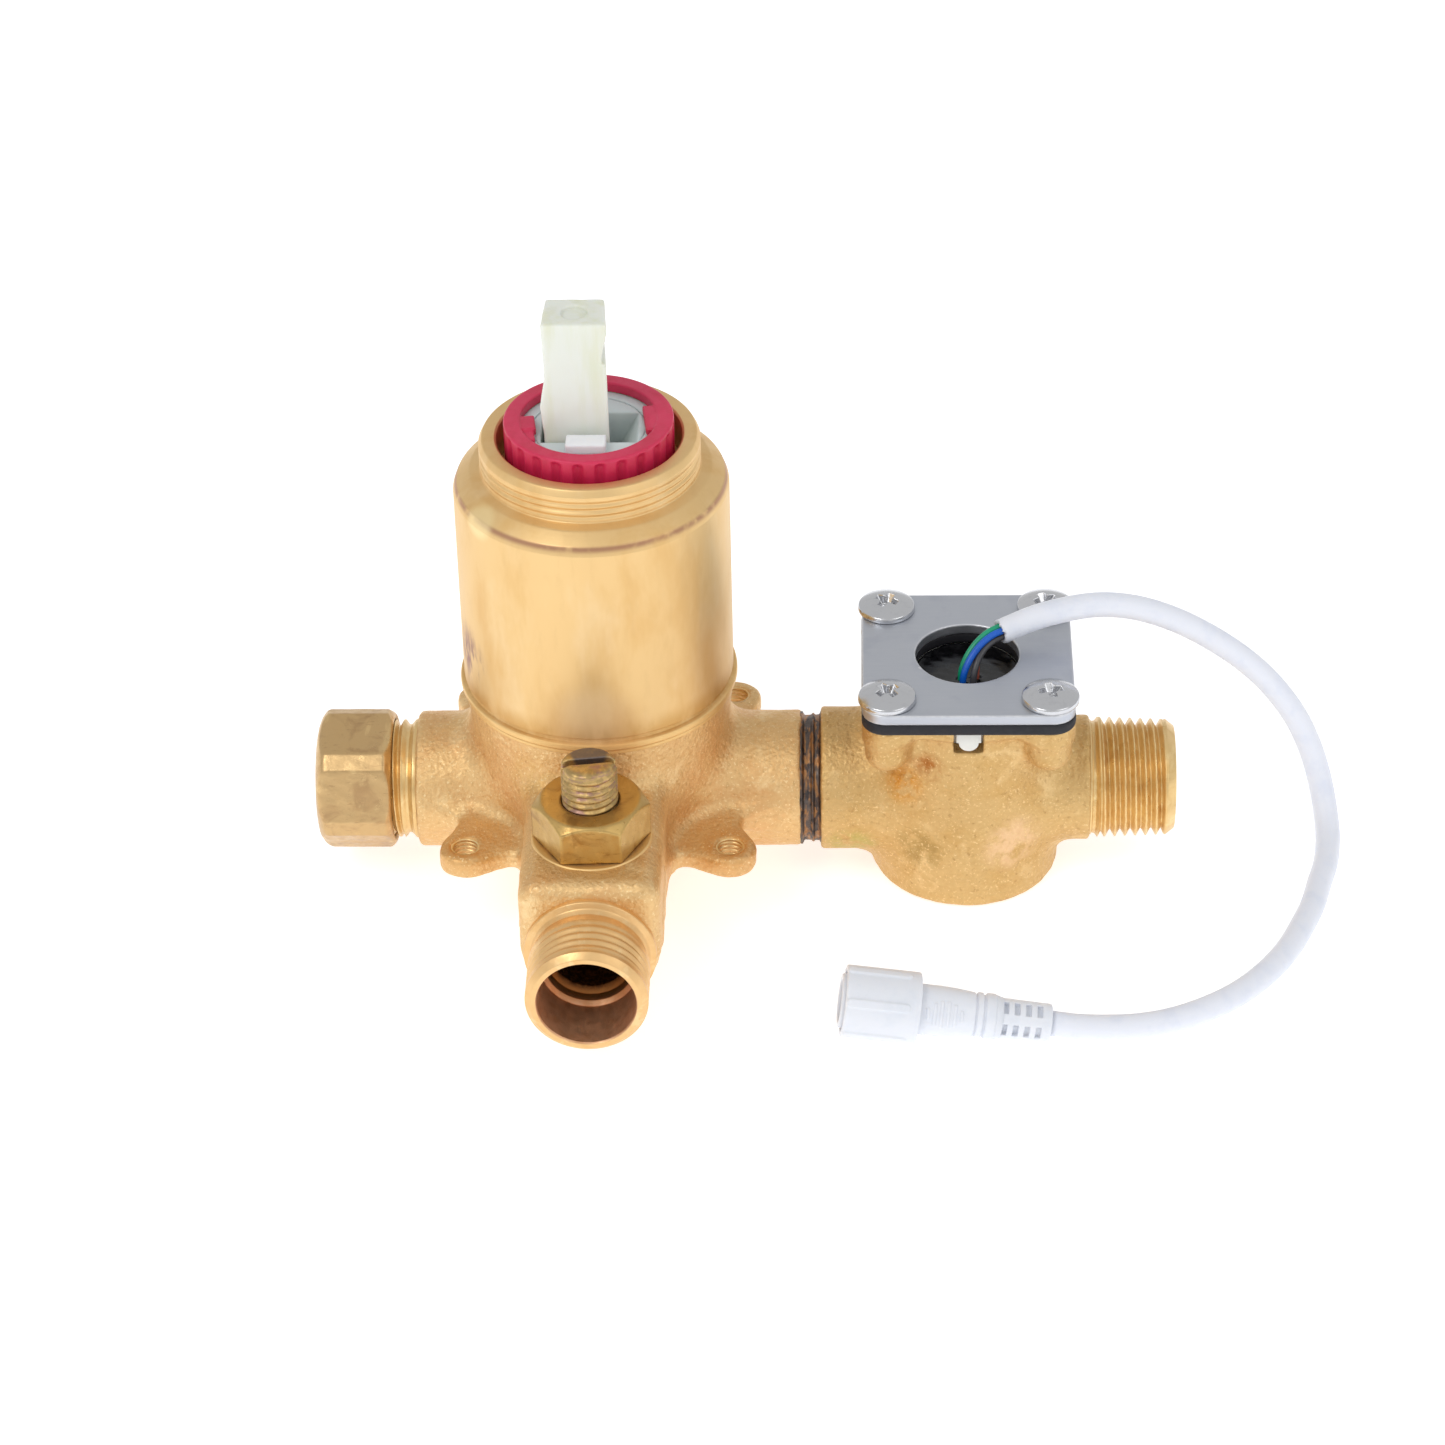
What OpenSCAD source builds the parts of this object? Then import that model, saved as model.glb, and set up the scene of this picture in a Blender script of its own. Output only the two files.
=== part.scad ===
// Single-lever shower mixing valve with an in-line turbine flow sensor.
// Origin: cartridge axis (Z) where it crosses the pipe axis (X), midway through the mounting ears.
// +X points to the sensor and the threaded outlet, -Y to the front inlet, +Z up the lever.

/* [Valve body] */
// Diameter of the turned barrel
barrel_d = 47; // [46.5:0.5:49]
// Height of the barrel's shoulder above the pipe axis
shoulder_z = 63.6; // [63:0.1:64.2]
// Height of the collar's rim above the pipe axis
rim_z = 71.7; // [71.2:0.1:72]
// Major diameter of the collar's outside thread
collar_d = 37.9; // [37.6:0.1:38.4]
// Bore of the collar
collar_bore_d = 31.5; // [31.4:0.1:32]
// Diameter of the bore that holds the cartridge
chamber_d = 30.6; // [30.5:0.1:31]
// Diameter of the cast pipe stubs
pipe_d = 24; // [23:0.5:25]
// Water way through the pipe stubs
water_way_d = 15; // [13:0.5:15.5]

/* [Mounting ears] */
// Spacing of the ear holes, a square on the cartridge axis
ear_spacing = 46; // [45:0.5:47]
// Tapped hole in each ear
ear_hole_d = 4.2; // [3.5:0.1:5]
// Thickness of the ears
ear_t = 4; // [3:0.5:5]

/* [Inlets] */
// Distance from the cartridge axis to the end of each inlet thread
inlet_end_y = 64.4; // [63:0.1:65]
// Major diameter of the inlet threads, nominal half inch
inlet_thread_d = 21; // [20.6:0.1:21.3]
// Bore in the mouth of each inlet
inlet_bore_d = 16.5; // [15:0.5:17]
// Distance from the cartridge axis to each stop valve
stop_y = 35; // [34.5:0.5:35.5]
// Across flats of the stop's bonnet
bonnet_af = 17.6; // [17.4:0.1:18]

/* [Cartridge] */
// Height of the cartridge's top face
cartridge_top_z = 73; // [72.8:0.1:73]
// Outside diameter of the red limit ring
limit_ring_d = 28.8; // [28.4:0.1:29.6]
// Number of grip flutes round the limit ring
limit_ring_flutes = 24; // [20:1:30]
// Width of the lever
lever_w = 11; // [10:0.5:11]
// Depth of the lever
lever_depth = 9; // [8:0.5:9]
// Height of the lever's top face
lever_top_z = 95.2; // [90:0.1:97]

/* [Flow sensor] */
// Distance from the cartridge axis to the sensor's axis
sensor_x = 64.2; // [64:0.1:64.4]
// Diameter of the sensor's cup
cup_d = 32.8; // [32:0.2:34]
// Side of the square clamp plate
plate_w = 36.6; // [36:0.1:37.4]
// Thickness of the clamp plate
plate_t = 2; // [1.5:0.1:2]
// Spacing of the clamp screws, a square on the sensor's axis
screw_spacing = 28; // [27.6:0.2:28.4]
// Hole in the clamp plate
plate_hole_d = 18; // [16:0.5:18.5]
// Major diameter of the outlet's half inch pipe thread
outlet_thread_d = 21.34; // [20.6:0.01:21.4]

/* [Cable] */
// Outside diameter of the cable
cable_d = 4.4; // [4:0.1:4.6]
// Outside diameter of the connector's coupling nut
coupling_d = 13.1; // [12.8:0.1:13.1]

/* [Hidden] */
$fn = 64;

// Heights and places shared by several pieces
floor_z = -16.8;
barrel_r = barrel_d / 2;
chamber_r = chamber_d / 2;
collar_r = collar_d / 2;
pipe_r = pipe_d / 2;
water_way_r = water_way_d / 2;
chamber_floor_z = 30;
nut_seat_z = 61;
inlet_flat_z = 13.6;
inlet_face_y = 50.3;
seat_z = 1;
feed_y = 9.5;
pipe_left_x = -32.6;
cap_thread_x = -47.4;
braze_x = 35.2;
boss_x = 38.6;
outlet_shoulder_x = 85.9;
outlet_end_x = 101.1;
cup_top_z = 22.3;
gasket_t = 2.2;
plate_z = cup_top_z + gasket_t;
plate_top_z = plate_z + plate_t;
cup_bore_r = 13.2;
well_r = 10.8;
potting_z = 22.6;
pivot_x = -1.7;
pivot_z = 67;
ball_z = 54.5;
stop_stem_r = 4.8;
stop_chamber_r = 6.2;
stop_shank_r = 8;

// Cable: where the cut sheath ends, and the line that the connector lies on
cable_r = cable_d / 2;
connector_pos = [42.6, -52.7, -8.5];
connector_tilt = 8;
connector_len = 35.4;
connector_axis = [cos(connector_tilt), 0, -sin(connector_tilt)];
connector_end = connector_pos + connector_len * connector_axis;
cable_route = [
    [70, 1.5, 30], [77, 3.5, 32], [85.5, 5.8, 32.6], [92.5, 7.5, 31.2], [99, 9, 28.2],
    [105, 10, 24.4], [111, 10.6, 19.8], [116, 11, 15], [120, 11.2, 10], [123.3, 11, 4.8],
    [125.8, 10.2, -0.6], [127.6, 8.6, -6], [128.7, 5.6, -10.8], [129, 0.8, -13.8],
    [128.2, -5.6, -14.6], [126.5, -12, -14.6], [124.8, -18.4, -14.6], [122.4, -24.6, -14.6],
    [119.8, -30.4, -14.6], [116.4, -36, -14.6], [111.6, -41.8, -14.6], [106, -46.4, -14.6],
    [99, -50.2, -14.6], [92, -52.2, -14.5], [connector_end.x + 6, connector_end.y, connector_end.z - 0.84],
    connector_end
];

// Cylinders along each axis, from one coordinate to another
module rod_x(r, x0, x1) translate([x0, 0, 0]) rotate([0, 90, 0]) cylinder(r = r, h = x1 - x0);
module rod_y(r, y0, y1) translate([0, y0, 0]) rotate([-90, 0, 0]) cylinder(r = r, h = y1 - y0);
module rod_z(r, z0, z1) translate([0, 0, z0]) cylinder(r = r, h = z1 - z0);

// A flat ring about Z
module ring_z(r_out, r_in, z0, z1) {
    difference() {
        rod_z(r_out, z0, z1);
        rod_z(r_in, z0 - 1, z1 + 1);
    }
}

// Points of an arc about a centre
function arc(centre, r, a0, a1, steps) =
    [for (i = [0:steps]) centre + r * [cos(a0 + (a1 - a0) * i / steps), sin(a0 + (a1 - a0) * i / steps)]];

// Outline of a square with round corners
function round_square(w, r) =
    [for (q = [0:3]) each arc((w / 2 - r) * [cos(90 * q) - sin(90 * q), sin(90 * q) + cos(90 * q)],
        r, 90 * q, 90 * q + 90, 8)];

// A tube of round section swept along a list of points
function unit(v) = v / norm(v);
function heading(p, i) = unit(p[min(i + 1, len(p) - 1)] - p[max(i - 1, 0)]);
function side_of(t, reference) = unit(cross(t, reference));
module swept_tube(p, r, sides, reference = [0, 0, 1]) {
    n = len(p);
    rings = [for (i = [0:n - 1])
        let (t = heading(p, i), s = side_of(t, reference), u = cross(s, t))
            for (k = [0:sides - 1]) p[i] + r * (cos(360 * k / sides) * s + sin(360 * k / sides) * u)];
    caps = [[for (k = [0:sides - 1]) k], [for (k = [sides - 1:-1:0]) (n - 1) * sides + k]];
    walls = [for (i = [0:n - 2], k = [0:sides - 1])
        let (a = i * sides + k, b = i * sides + (k + 1) % sides) [a, a + sides, b + sides, b]];
    polyhedron(points = rings, faces = concat(caps, walls), convexity = 4);
}

// ---- Valve body ----

// Half section of the foot, bowl, lip, barrel, shoulder and threaded collar
module body_profile() {
    foot_r = 14;
    foot_round = 1.5;
    bowl_r = 22;
    bowl_round = 12;
    foot_angle = acos((foot_r - bowl_r + bowl_round) / bowl_round);
    lip_z = 23.6;
    polygon(concat(
        [[0, floor_z]],
        arc([foot_r - foot_round, floor_z + foot_round], foot_round, -90, 0, 4),
        arc([bowl_r - bowl_round, 0], bowl_round, -foot_angle, 0, 8),
        [
            [bowl_r + 0.6, 14], [barrel_r - 0.1, lip_z - 1.6], [barrel_r + 0.4, lip_z - 0.9],
            [barrel_r + 0.4, lip_z - 0.2], [barrel_r, lip_z + 0.4],
            [barrel_r, shoulder_z - 0.6], [barrel_r - 0.7, shoulder_z],
            [collar_r - 0.5, rim_z - 5.6], [collar_r - 0.5, rim_z - 5], [collar_r, rim_z - 4.6],
            [collar_r, rim_z - 0.6], [collar_r - 0.6, rim_z], [0, rim_z]
        ]
    ));
}

// One mounting ear, reaching out along +X before it is turned into place
module ear() {
    reach = ear_spacing / sqrt(2);
    tip_r = 4.4;
    translate([0, 0, -ear_t / 2]) {
        linear_extrude(ear_t) polygon([[18, -9], [reach - 1, -tip_r], [reach - 1, tip_r], [18, 9]]);
        translate([reach, 0, 0]) cylinder(r = tip_r, h = ear_t);
    }
}

// Cast branch with a flat top for the stop valve, reaching out along -Y
module inlet_branch() {
    rotate([90, 0, 0]) linear_extrude(inlet_face_y)
        polygon(concat(arc([0, 0], pipe_r, 180, 360, 16), [[pipe_r, inlet_flat_z], [-pipe_r, inlet_flat_z]]));
    relief_w = 2;
    bevel = 0.8;
    rod_y(inlet_thread_d / 2 - 1, -inlet_face_y - relief_w, -inlet_face_y + 1);
    rod_y(inlet_thread_d / 2, -inlet_end_y + bevel, -inlet_face_y - relief_w);
    translate([0, -inlet_end_y + bevel, 0]) rotate([90, 0, 0])
        cylinder(r1 = inlet_thread_d / 2, r2 = inlet_thread_d / 2 - bevel - 0.4, h = bevel);
}

// Water ways of one inlet: mouth, lower passage, stop seat, upper passage and feed to the cartridge
module inlet_water_ways() {
    passage_r = 4;
    upper_r = 3;
    mouth_end_y = 47;
    ledge_r = 6;
    ledge_end_y = 42;
    rod_y(inlet_bore_d / 2, -inlet_end_y - 1, -mouth_end_y);
    rod_y(ledge_r, -mouth_end_y - 1, -ledge_end_y);
    translate([0, 0, -passage_r]) rod_y(passage_r, -ledge_end_y - 1, -stop_y + 3);
    translate([0, -stop_y, 0]) {
        rod_z(passage_r, -passage_r, seat_z + 1);
        rod_z(stop_chamber_r, seat_z, inlet_flat_z + 1);
        rod_z(stop_shank_r, inlet_flat_z - 5.6, inlet_flat_z + 1);
    }
    translate([0, 0, 5]) rod_y(upper_r, -stop_y, -feed_y);
    translate([0, -feed_y, 0]) rod_z(2.8, 5, chamber_floor_z + 1);
}

module valve_body() {
    color("goldenrod") difference() {
        union() {
            rotate_extrude($fn = 96) body_profile();
            rod_x(pipe_r, pipe_left_x, braze_x);
            rod_x(inlet_thread_d / 2 - 1.3, pipe_left_x - 1.7, 0);
            rod_x(inlet_thread_d / 2, cap_thread_x, pipe_left_x - 1.7);
            for (quarter = [0:3]) rotate(45 + 90 * quarter) ear();
            for (turn = [0, 180]) rotate(turn) inlet_branch();
        }
        rod_z(chamber_r, chamber_floor_z, rim_z + 1);
        rod_z(collar_bore_d / 2, nut_seat_z, rim_z + 1);
        rod_x(water_way_r, cap_thread_x - 1, braze_x + 1);
        rod_z(3.5, 0, chamber_floor_z + 1);
        for (turn = [0, 180]) rotate(turn) inlet_water_ways();
        for (quarter = [0:3]) rotate(45 + 90 * quarter)
            translate([ear_spacing / sqrt(2), 0, 0]) rod_z(ear_hole_d / 2, -ear_t, ear_t);
    }
}

// ---- Cartridge ----

base_top_z = 43.9;
disc_top_z = 47.9;
neck_r = 12.3;
neck_bore_r = 9.8;
green_ring_r = 11.7;
green_ring_h = 0.9;
rotor_r = 9.73;

// Lower half of the cartridge, with hot, cold and mixed ports
module cartridge_base() {
    seal_t = 1.2;
    color("gainsboro") difference() {
        union() {
            rod_z(chamber_r - 0.1, chamber_floor_z, chamber_floor_z + 4);
            rod_z(13.3, chamber_floor_z, base_top_z);
        }
        rod_z(3.4, 0, rim_z);
        for (side = [-1, 1]) translate([0, side * feed_y, 0]) rod_z(2.5, 0, rim_z);
        port_recesses(chamber_floor_z - 1, chamber_floor_z + seal_t, 0);
        port_recesses(base_top_z - seal_t, base_top_z + 1, 0);
    }
}

// The three round seats of a set of port seals
module port_recesses(z0, z1, gap) {
    rod_z(4.8 - gap, z0, z1);
    for (side = [-1, 1]) translate([0, side * feed_y, 0]) rod_z(3.5 - gap, z0, z1);
}

// Three rubber rings that seal the ports of the cartridge
module port_seals(z0, z1) {
    color("dimgray") {
        difference() {
            port_recesses(z0, z1, 0.05);
            rod_z(3.4, z0 - 1, z1 + 1);
            for (side = [-1, 1]) translate([0, side * feed_y, 0]) rod_z(2.5, z0 - 1, z1 + 1);
        }
    }
}

module base_seals() port_seals(chamber_floor_z, chamber_floor_z + 1.2);
module disc_seals() port_seals(base_top_z - 1.2, base_top_z);

// Shell of the cartridge: a wide skirt under the retaining nut and a neck that the limit ring sits on
module cartridge_housing() {
    skirt_z = chamber_floor_z + 4;
    color("whitesmoke") difference() {
        union() {
            rod_z(chamber_r - 0.1, skirt_z, nut_seat_z);
            rod_z(neck_r, nut_seat_z - 1, cartridge_top_z);
        }
        rod_z(13.4, skirt_z - 1, nut_seat_z - 2);
        rod_z(neck_bore_r, skirt_z, cartridge_top_z + 1);
        ring_z(neck_r + 1, green_ring_r, cartridge_top_z - green_ring_h, cartridge_top_z + 1);
        ring_z(chamber_r + 1, chamber_r - 1.4, nut_seat_z - 6, nut_seat_z - 4);
    }
}

module housing_oring() color("dimgray") ring_z(chamber_r, chamber_r - 1.4, nut_seat_z - 5.9, nut_seat_z - 4.1);

// Lower ceramic disc, which stays still
module fixed_disc() {
    color("white") difference() {
        rod_z(13.2, base_top_z, disc_top_z);
        rod_z(3.4, 0, rim_z);
        for (side = [-1, 1]) translate([0, side * feed_y, 0]) rod_z(2.4, 0, rim_z);
    }
}

// Upper ceramic disc, which slides and turns over the lower one
module moving_disc() {
    slide_x = 1.5;
    color("lightgray") translate([slide_x, 0, 0]) difference() {
        rod_z(8.5, disc_top_z + 0.05, disc_top_z + 3.8);
        rod_z(5.5, disc_top_z, disc_top_z + 1.6);
    }
}

// Plastic carrier between the lever's ball and the moving disc
module disc_carrier() {
    slide_x = 1.5;
    color("ivory") difference() {
        translate([slide_x, 0, 0]) rod_z(8.5, disc_top_z + 3.8, 56.2);
        translate([pivot_x, 0, 0]) rod_z(2.6, 52, 57);
    }
}

// Turning core of the cartridge, with the slot that the lever swings in and the stop tab in front
module rotor() {
    flange_z = 56.6;
    neck_z = nut_seat_z - 2;
    tab_w = 6.8;
    tab_y = -5.6;
    color("lightgrey") difference() {
        union() {
            rod_z(rotor_r, flange_z, cartridge_top_z - 0.1);
            rod_z(13, flange_z, neck_z - 0.3);
            translate([-tab_w / 2 - 0.1, tab_y - 3.2, cartridge_top_z - 1]) cube([tab_w, 3.2, 3]);
            translate([-tab_w / 2 - 0.1, tab_y - 3.8, cartridge_top_z + 0.15]) cube([tab_w, 3.8, 1.85]);
        }
        // Pocket that the lever swings in
        intersection() {
            translate([-8.2, -lever_depth / 2 - 0.3, pivot_z - 4.8])
                cube([16.6, lever_depth + 0.6, 20]);
            rod_z(8.6, 0, 100);
        }
        // Slots for the lever's arm through the neck, and for its ball through the flange
        translate([pivot_x - 6, -2.5, neck_z - 0.5]) cube([8.3, 5, 8]);
        translate([pivot_x - 8, -2.7, flange_z - 1]) cube([10.7, 5.4, neck_z - flange_z + 1]);
        translate([pivot_x, 0, pivot_z]) rod_y(1.25, -7.6, 7.6);
        ring_z(rotor_r + 1, rotor_r - 1.2, neck_z + 0.8, neck_z + 2.4);
    }
}

module rotor_oring() color("dimgray") {
    ring_z(rotor_r + 0.02, rotor_r - 1.2, nut_seat_z - 1.1, nut_seat_z + 0.3);
}

// Square lever that takes the handle, with the arm and ball that drive the disc carrier
module lever() {
    stem_w = lever_w - 0.9;
    left_x = pivot_x + 0.1 - lever_w / 2;
    color("honeydew") difference() {
        union() {
            translate([left_x, -lever_depth / 2, lever_top_z - 4.6]) cube([lever_w, lever_depth, 4.6]);
            translate([left_x + 0.1, -lever_depth / 2 + 0.1, cartridge_top_z - 1.5])
                cube([stem_w, lever_depth - 0.2, lever_top_z - cartridge_top_z - 2]);
            translate([left_x, -lever_depth / 2, cartridge_top_z - 1.5]) cube([lever_w, lever_depth, 16]);
            translate([pivot_x - 3.6, -lever_depth / 2 + 0.2, pivot_z - 3]) cube([7.2, lever_depth - 0.4, 8]);
            translate([pivot_x, 0, 0]) rod_z(2, ball_z, pivot_z);
            translate([pivot_x, 0, ball_z]) sphere(r = 2.3, $fn = 32);
        }
        translate([pivot_x, 0, pivot_z]) rod_y(1.32, -lever_depth, lever_depth);
        translate([pivot_x, 0, 0]) rod_z(2.4, lever_top_z - 1.2, lever_top_z + 1);
    }
}

module lever_pin() color("silver") translate([pivot_x, 0, pivot_z]) rod_y(1.25, -7.5, 7.5);

// Red ring with grip flutes and two inner stops that limit the temperature
module hot_limit_ring() {
    ring_r = limit_ring_d / 2;
    ring_bottom_z = 66.4;
    ring_top_z = cartridge_top_z + 1.8;
    stop_angles = [0, 188];
    flute_turn = 10.3;
    color("crimson") difference() {
        union() {
            ring_z(ring_r, neck_r + 0.05, ring_bottom_z, ring_top_z);
            for (a = stop_angles) intersection() {
                ring_z(ring_r - 0.5, 9.9, cartridge_top_z + 0.05, ring_top_z - 0.2);
                rotate(a) translate([8, -2.6, cartridge_top_z - 1]) cube([5.5, 5.2, 5]);
            }
        }
        for (i = [0:limit_ring_flutes - 1]) rotate(flute_turn + 360 * i / limit_ring_flutes)
            translate([ring_r + 0.45, 0, 0]) rod_z(0.95, ring_bottom_z - 1, ring_top_z - 1);
    }
}

// Thin green ring round the rim of the cartridge's neck, just inside the limit ring
module green_index_ring() color("limegreen") {
    ring_z(neck_r, green_ring_r, cartridge_top_z - green_ring_h, cartridge_top_z);
}

// Brass ring nut that holds the cartridge down
module retaining_nut() {
    color("darkgoldenrod") difference() {
        ring_z(collar_bore_d / 2 - 0.05, neck_r + 0.1, nut_seat_z, nut_seat_z + 4.2);
        for (a = [0:60:300]) rotate(a) translate([collar_bore_d / 2 - 1.5, 0, nut_seat_z + 3])
            cube([4, 2.4, 4], center = true);
    }
}

// ---- Stop valves, one on each inlet ----

// Hexagonal bonnet that the stop's stem screws through
module bonnet() {
    hex_h = 7.4;
    hex_r = bonnet_af / sqrt(3);
    color("peru") difference() {
        union() {
            rod_z(stop_shank_r - 0.02, inlet_flat_z - 5.6, inlet_flat_z);
            intersection() {
                translate([0, 0, inlet_flat_z]) cylinder(r = hex_r, h = hex_h, $fn = 6);
                translate([0, 0, inlet_flat_z]) cylinder(r = hex_r, h = hex_h - 1.1);
            }
            intersection() {
                translate([0, 0, inlet_flat_z]) cylinder(r = hex_r, h = hex_h, $fn = 6);
                translate([0, 0, inlet_flat_z + hex_h - 1.1])
                    cylinder(r1 = hex_r, r2 = bonnet_af / 2 - 0.2, h = 1.1);
            }
        }
        rod_z(stop_chamber_r, inlet_flat_z - 7, inlet_flat_z + 3.6);
        rod_z(stop_stem_r + 0.07, inlet_flat_z, inlet_flat_z + hex_h + 1);
    }
}

stem_top_z = 28.8;
plunger_z = 8.5;

// Threaded stem with a screwdriver slot above and a plunger below
module stop_stem() {
    slot_w = 1.6;
    color("saddlebrown") difference() {
        union() {
            rod_z(stop_stem_r, plunger_z, stem_top_z - 0.7);
            translate([0, 0, stem_top_z - 0.7]) cylinder(r1 = stop_stem_r, r2 = stop_stem_r - 0.7, h = 0.7);
            rod_z(stop_chamber_r - 0.07, plunger_z, plunger_z + 5);
            rod_z(1.7, plunger_z - 1.8, plunger_z + 1);
        }
        ring_z(stop_chamber_r + 1, stop_chamber_r - 1.4, plunger_z + 1.5, plunger_z + 3.5);
        rotate(6) translate([0, 0, stem_top_z]) cube([20, slot_w, 4], center = true);
    }
}

module stop_oring() {
    color("black") ring_z(stop_chamber_r - 0.03, stop_chamber_r - 1.4, plunger_z + 1.6, plunger_z + 3.4);
}

// Rubber seat washer under the plunger, which does not turn with the stem
module stop_washer() color("black") ring_z(5.6, 1.75, plunger_z - 2, plunger_z - 0.02);

module at_front() translate([0, -stop_y, 0]) children();
module at_back() rotate(180) translate([0, -stop_y, 0]) children();

module front_bonnet() at_front() bonnet();
module front_stop_stem() at_front() stop_stem();
module front_stop_oring() at_front() stop_oring();
module front_stop_washer() at_front() stop_washer();
module back_bonnet() at_back() bonnet();
module back_stop_stem() at_back() stop_stem();
module back_stop_oring() at_back() stop_oring();
module back_stop_washer() at_back() stop_washer();

// ---- Capped outlet and sensor joint ----

// Hexagonal cap with flattened corners, screwed on the unused outlet
module outlet_cap() {
    cap_af = 23;
    corner_af = 24.8;
    cap_turn = 11.5;
    cap_left_x = -50.7;
    cap_right_x = -36.9;
    cap_len = cap_right_x - cap_left_x;
    bevel = 1.4;
    round_r = 12.7;
    color("darkgoldenrod") difference() {
        intersection() {
            translate([cap_left_x, 0, 0]) rotate([cap_turn, 0, 0]) rotate([0, 90, 0]) intersection() {
                rotate(90) cylinder(r = cap_af / sqrt(3), h = cap_len, $fn = 6);
                rotate(60) cylinder(r = corner_af / sqrt(3), h = cap_len, $fn = 6);
            }
            union() {
                rod_x(round_r, cap_left_x, cap_right_x - bevel);
                translate([cap_right_x - bevel, 0, 0]) rotate([0, 90, 0])
                    cylinder(r1 = round_r, r2 = round_r - bevel, h = bevel);
            }
        }
        rod_x(inlet_thread_d / 2 + 0.02, cap_thread_x - 0.8, cap_right_x + 1);
    }
}

module cap_gasket() {
    color("dimgray") difference() {
        rod_x(10, cap_thread_x - 0.8, cap_thread_x);
        rod_x(water_way_r, cap_thread_x - 2, cap_thread_x + 1);
    }
}

// Brazed joint between the valve and the sensor
module braze_ring() {
    color("dimgray") difference() {
        rod_x(10.9, braze_x, boss_x);
        rod_x(water_way_r, braze_x - 1, boss_x + 1);
    }
}

// ---- Flow sensor ----

// Four copies at the clamp screws
module at_screws() {
    for (sx = [-1, 1], sy = [-1, 1])
        translate([sensor_x + sx * screw_spacing / 2, sy * screw_spacing / 2, 0]) children();
}

// Cast cup with pipe stubs on both sides and four screw bosses
module sensor_body() {
    cup_round = 3;
    cup_r = cup_d / 2;
    boss_r = 3.8;
    boss_z = 13;
    flange_z = 17.5;
    notch_w = 5.1;
    color("darkgoldenrod") difference() {
        union() {
            translate([sensor_x, 0, 0]) rotate_extrude() polygon(concat(
                [[0, floor_z]],
                arc([cup_r - cup_round, floor_z + cup_round], cup_round, -90, 0, 6),
                [[cup_r, cup_top_z], [0, cup_top_z]]
            ));
            rod_x(12.6, boss_x, sensor_x);
            rod_x(11, sensor_x, outlet_shoulder_x);
            rod_x(outlet_thread_d / 2, outlet_shoulder_x - 1, outlet_end_x - 1);
            translate([outlet_end_x - 1, 0, 0]) rotate([0, 90, 0])
                cylinder(r1 = outlet_thread_d / 2, r2 = outlet_thread_d / 2 - 1, h = 1);
            translate([sensor_x, 0, flange_z]) linear_extrude(cup_top_z - flange_z)
                polygon(round_square(screw_spacing + 6, 3));
            at_screws() {
                rod_z(boss_r, boss_z + 2, cup_top_z);
                translate([0, 0, boss_z]) cylinder(r1 = boss_r - 2, r2 = boss_r, h = 2);
            }
        }
        translate([sensor_x, 0, 0]) rod_z(cup_bore_r, floor_z + 3, cup_top_z + 1);
        rod_x(water_way_r, boss_x - 1, outlet_end_x + 1);
        at_screws() rod_z(2, boss_z + 1.4, cup_top_z + 1);
        translate([sensor_x - notch_w / 2, -25, cup_top_z - 4.2]) cube([notch_w, 25, 10]);
    }
}

cage_floor_z = -13.8;
cage_top_z = 7.9;

// White cage that guides the water past the impeller and carries the lower end of its axle
module turbine_cage() {
    window_w = 13;
    color("white") translate([sensor_x, 0, 0]) difference() {
        rod_z(cup_bore_r - 0.1, cage_floor_z, cage_top_z);
        rod_z(11.6, cage_floor_z + 1.5, cage_top_z + 1);
        translate([-20, -window_w / 2, -window_w / 2]) cube([40, window_w, window_w]);
        rod_z(0.82, cage_floor_z + 0.4, 0);
    }
}

// Paddle wheel that the water turns
module impeller() {
    paddle_count = 6;
    paddle_r = 11;
    paddle_t = 1.2;
    color("whitesmoke") translate([sensor_x, 0, 0]) difference() {
        union() {
            rod_z(3, -8.5, 3.8);
            for (i = [0:paddle_count - 1]) rotate(360 * i / paddle_count)
                translate([0, -paddle_t / 2, -7.5]) cube([paddle_r, paddle_t, 11]);
            rod_z(7.6, 2.6, 3.8);
        }
        rod_z(0.87, -20, 20);
    }
}

module impeller_magnet() color("dimgray") translate([sensor_x, 0, 0]) ring_z(7, 3.2, 3.8, 6.4);

module impeller_axle() color("silver") translate([sensor_x, 0, 0]) rod_z(0.8, cage_floor_z + 0.4, 9);

// White capsule that closes the cup, carries the circuit board and keys into the cup's notch
module sensor_capsule() {
    tab_w = 4.2;
    tab_z = 19.6;
    color("ivory") translate([sensor_x, 0, 0]) difference() {
        union() {
            rod_z(cup_bore_r - 0.08, 8, cup_top_z);
            translate([-tab_w / 2, -17.2, tab_z]) cube([tab_w, 5, cup_top_z - tab_z]);
            translate([0, 0, tab_z]) rod_y(tab_w / 2 - 0.4, -17.2, -12.6);
        }
        rod_z(well_r, 10, cup_top_z + 1);
        ring_z(cup_bore_r + 1, cup_bore_r - 1.3, 12.4, 14.6);
        rod_z(0.82, 7, 9.05);
    }
}

module capsule_oring() {
    color("black") translate([sensor_x, 0, 0]) ring_z(cup_bore_r, cup_bore_r - 1.3, 12.5, 14.5);
}

// Circuit board with the magnetic pulse sensor
module hall_board() {
    color("seagreen") translate([sensor_x, 0, 0]) {
        translate([-8, -5, 10]) cube([16, 10, 1.6]);
        translate([-2, -2, 11.6]) cube([4, 3.2, 1.1]);
    }
}

module potting() color("black") translate([sensor_x, 0, 0]) {
    rod_z(well_r - 0.02, 12.8, cup_top_z);
    rod_z(9.1, cup_top_z, potting_z);
}

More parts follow.
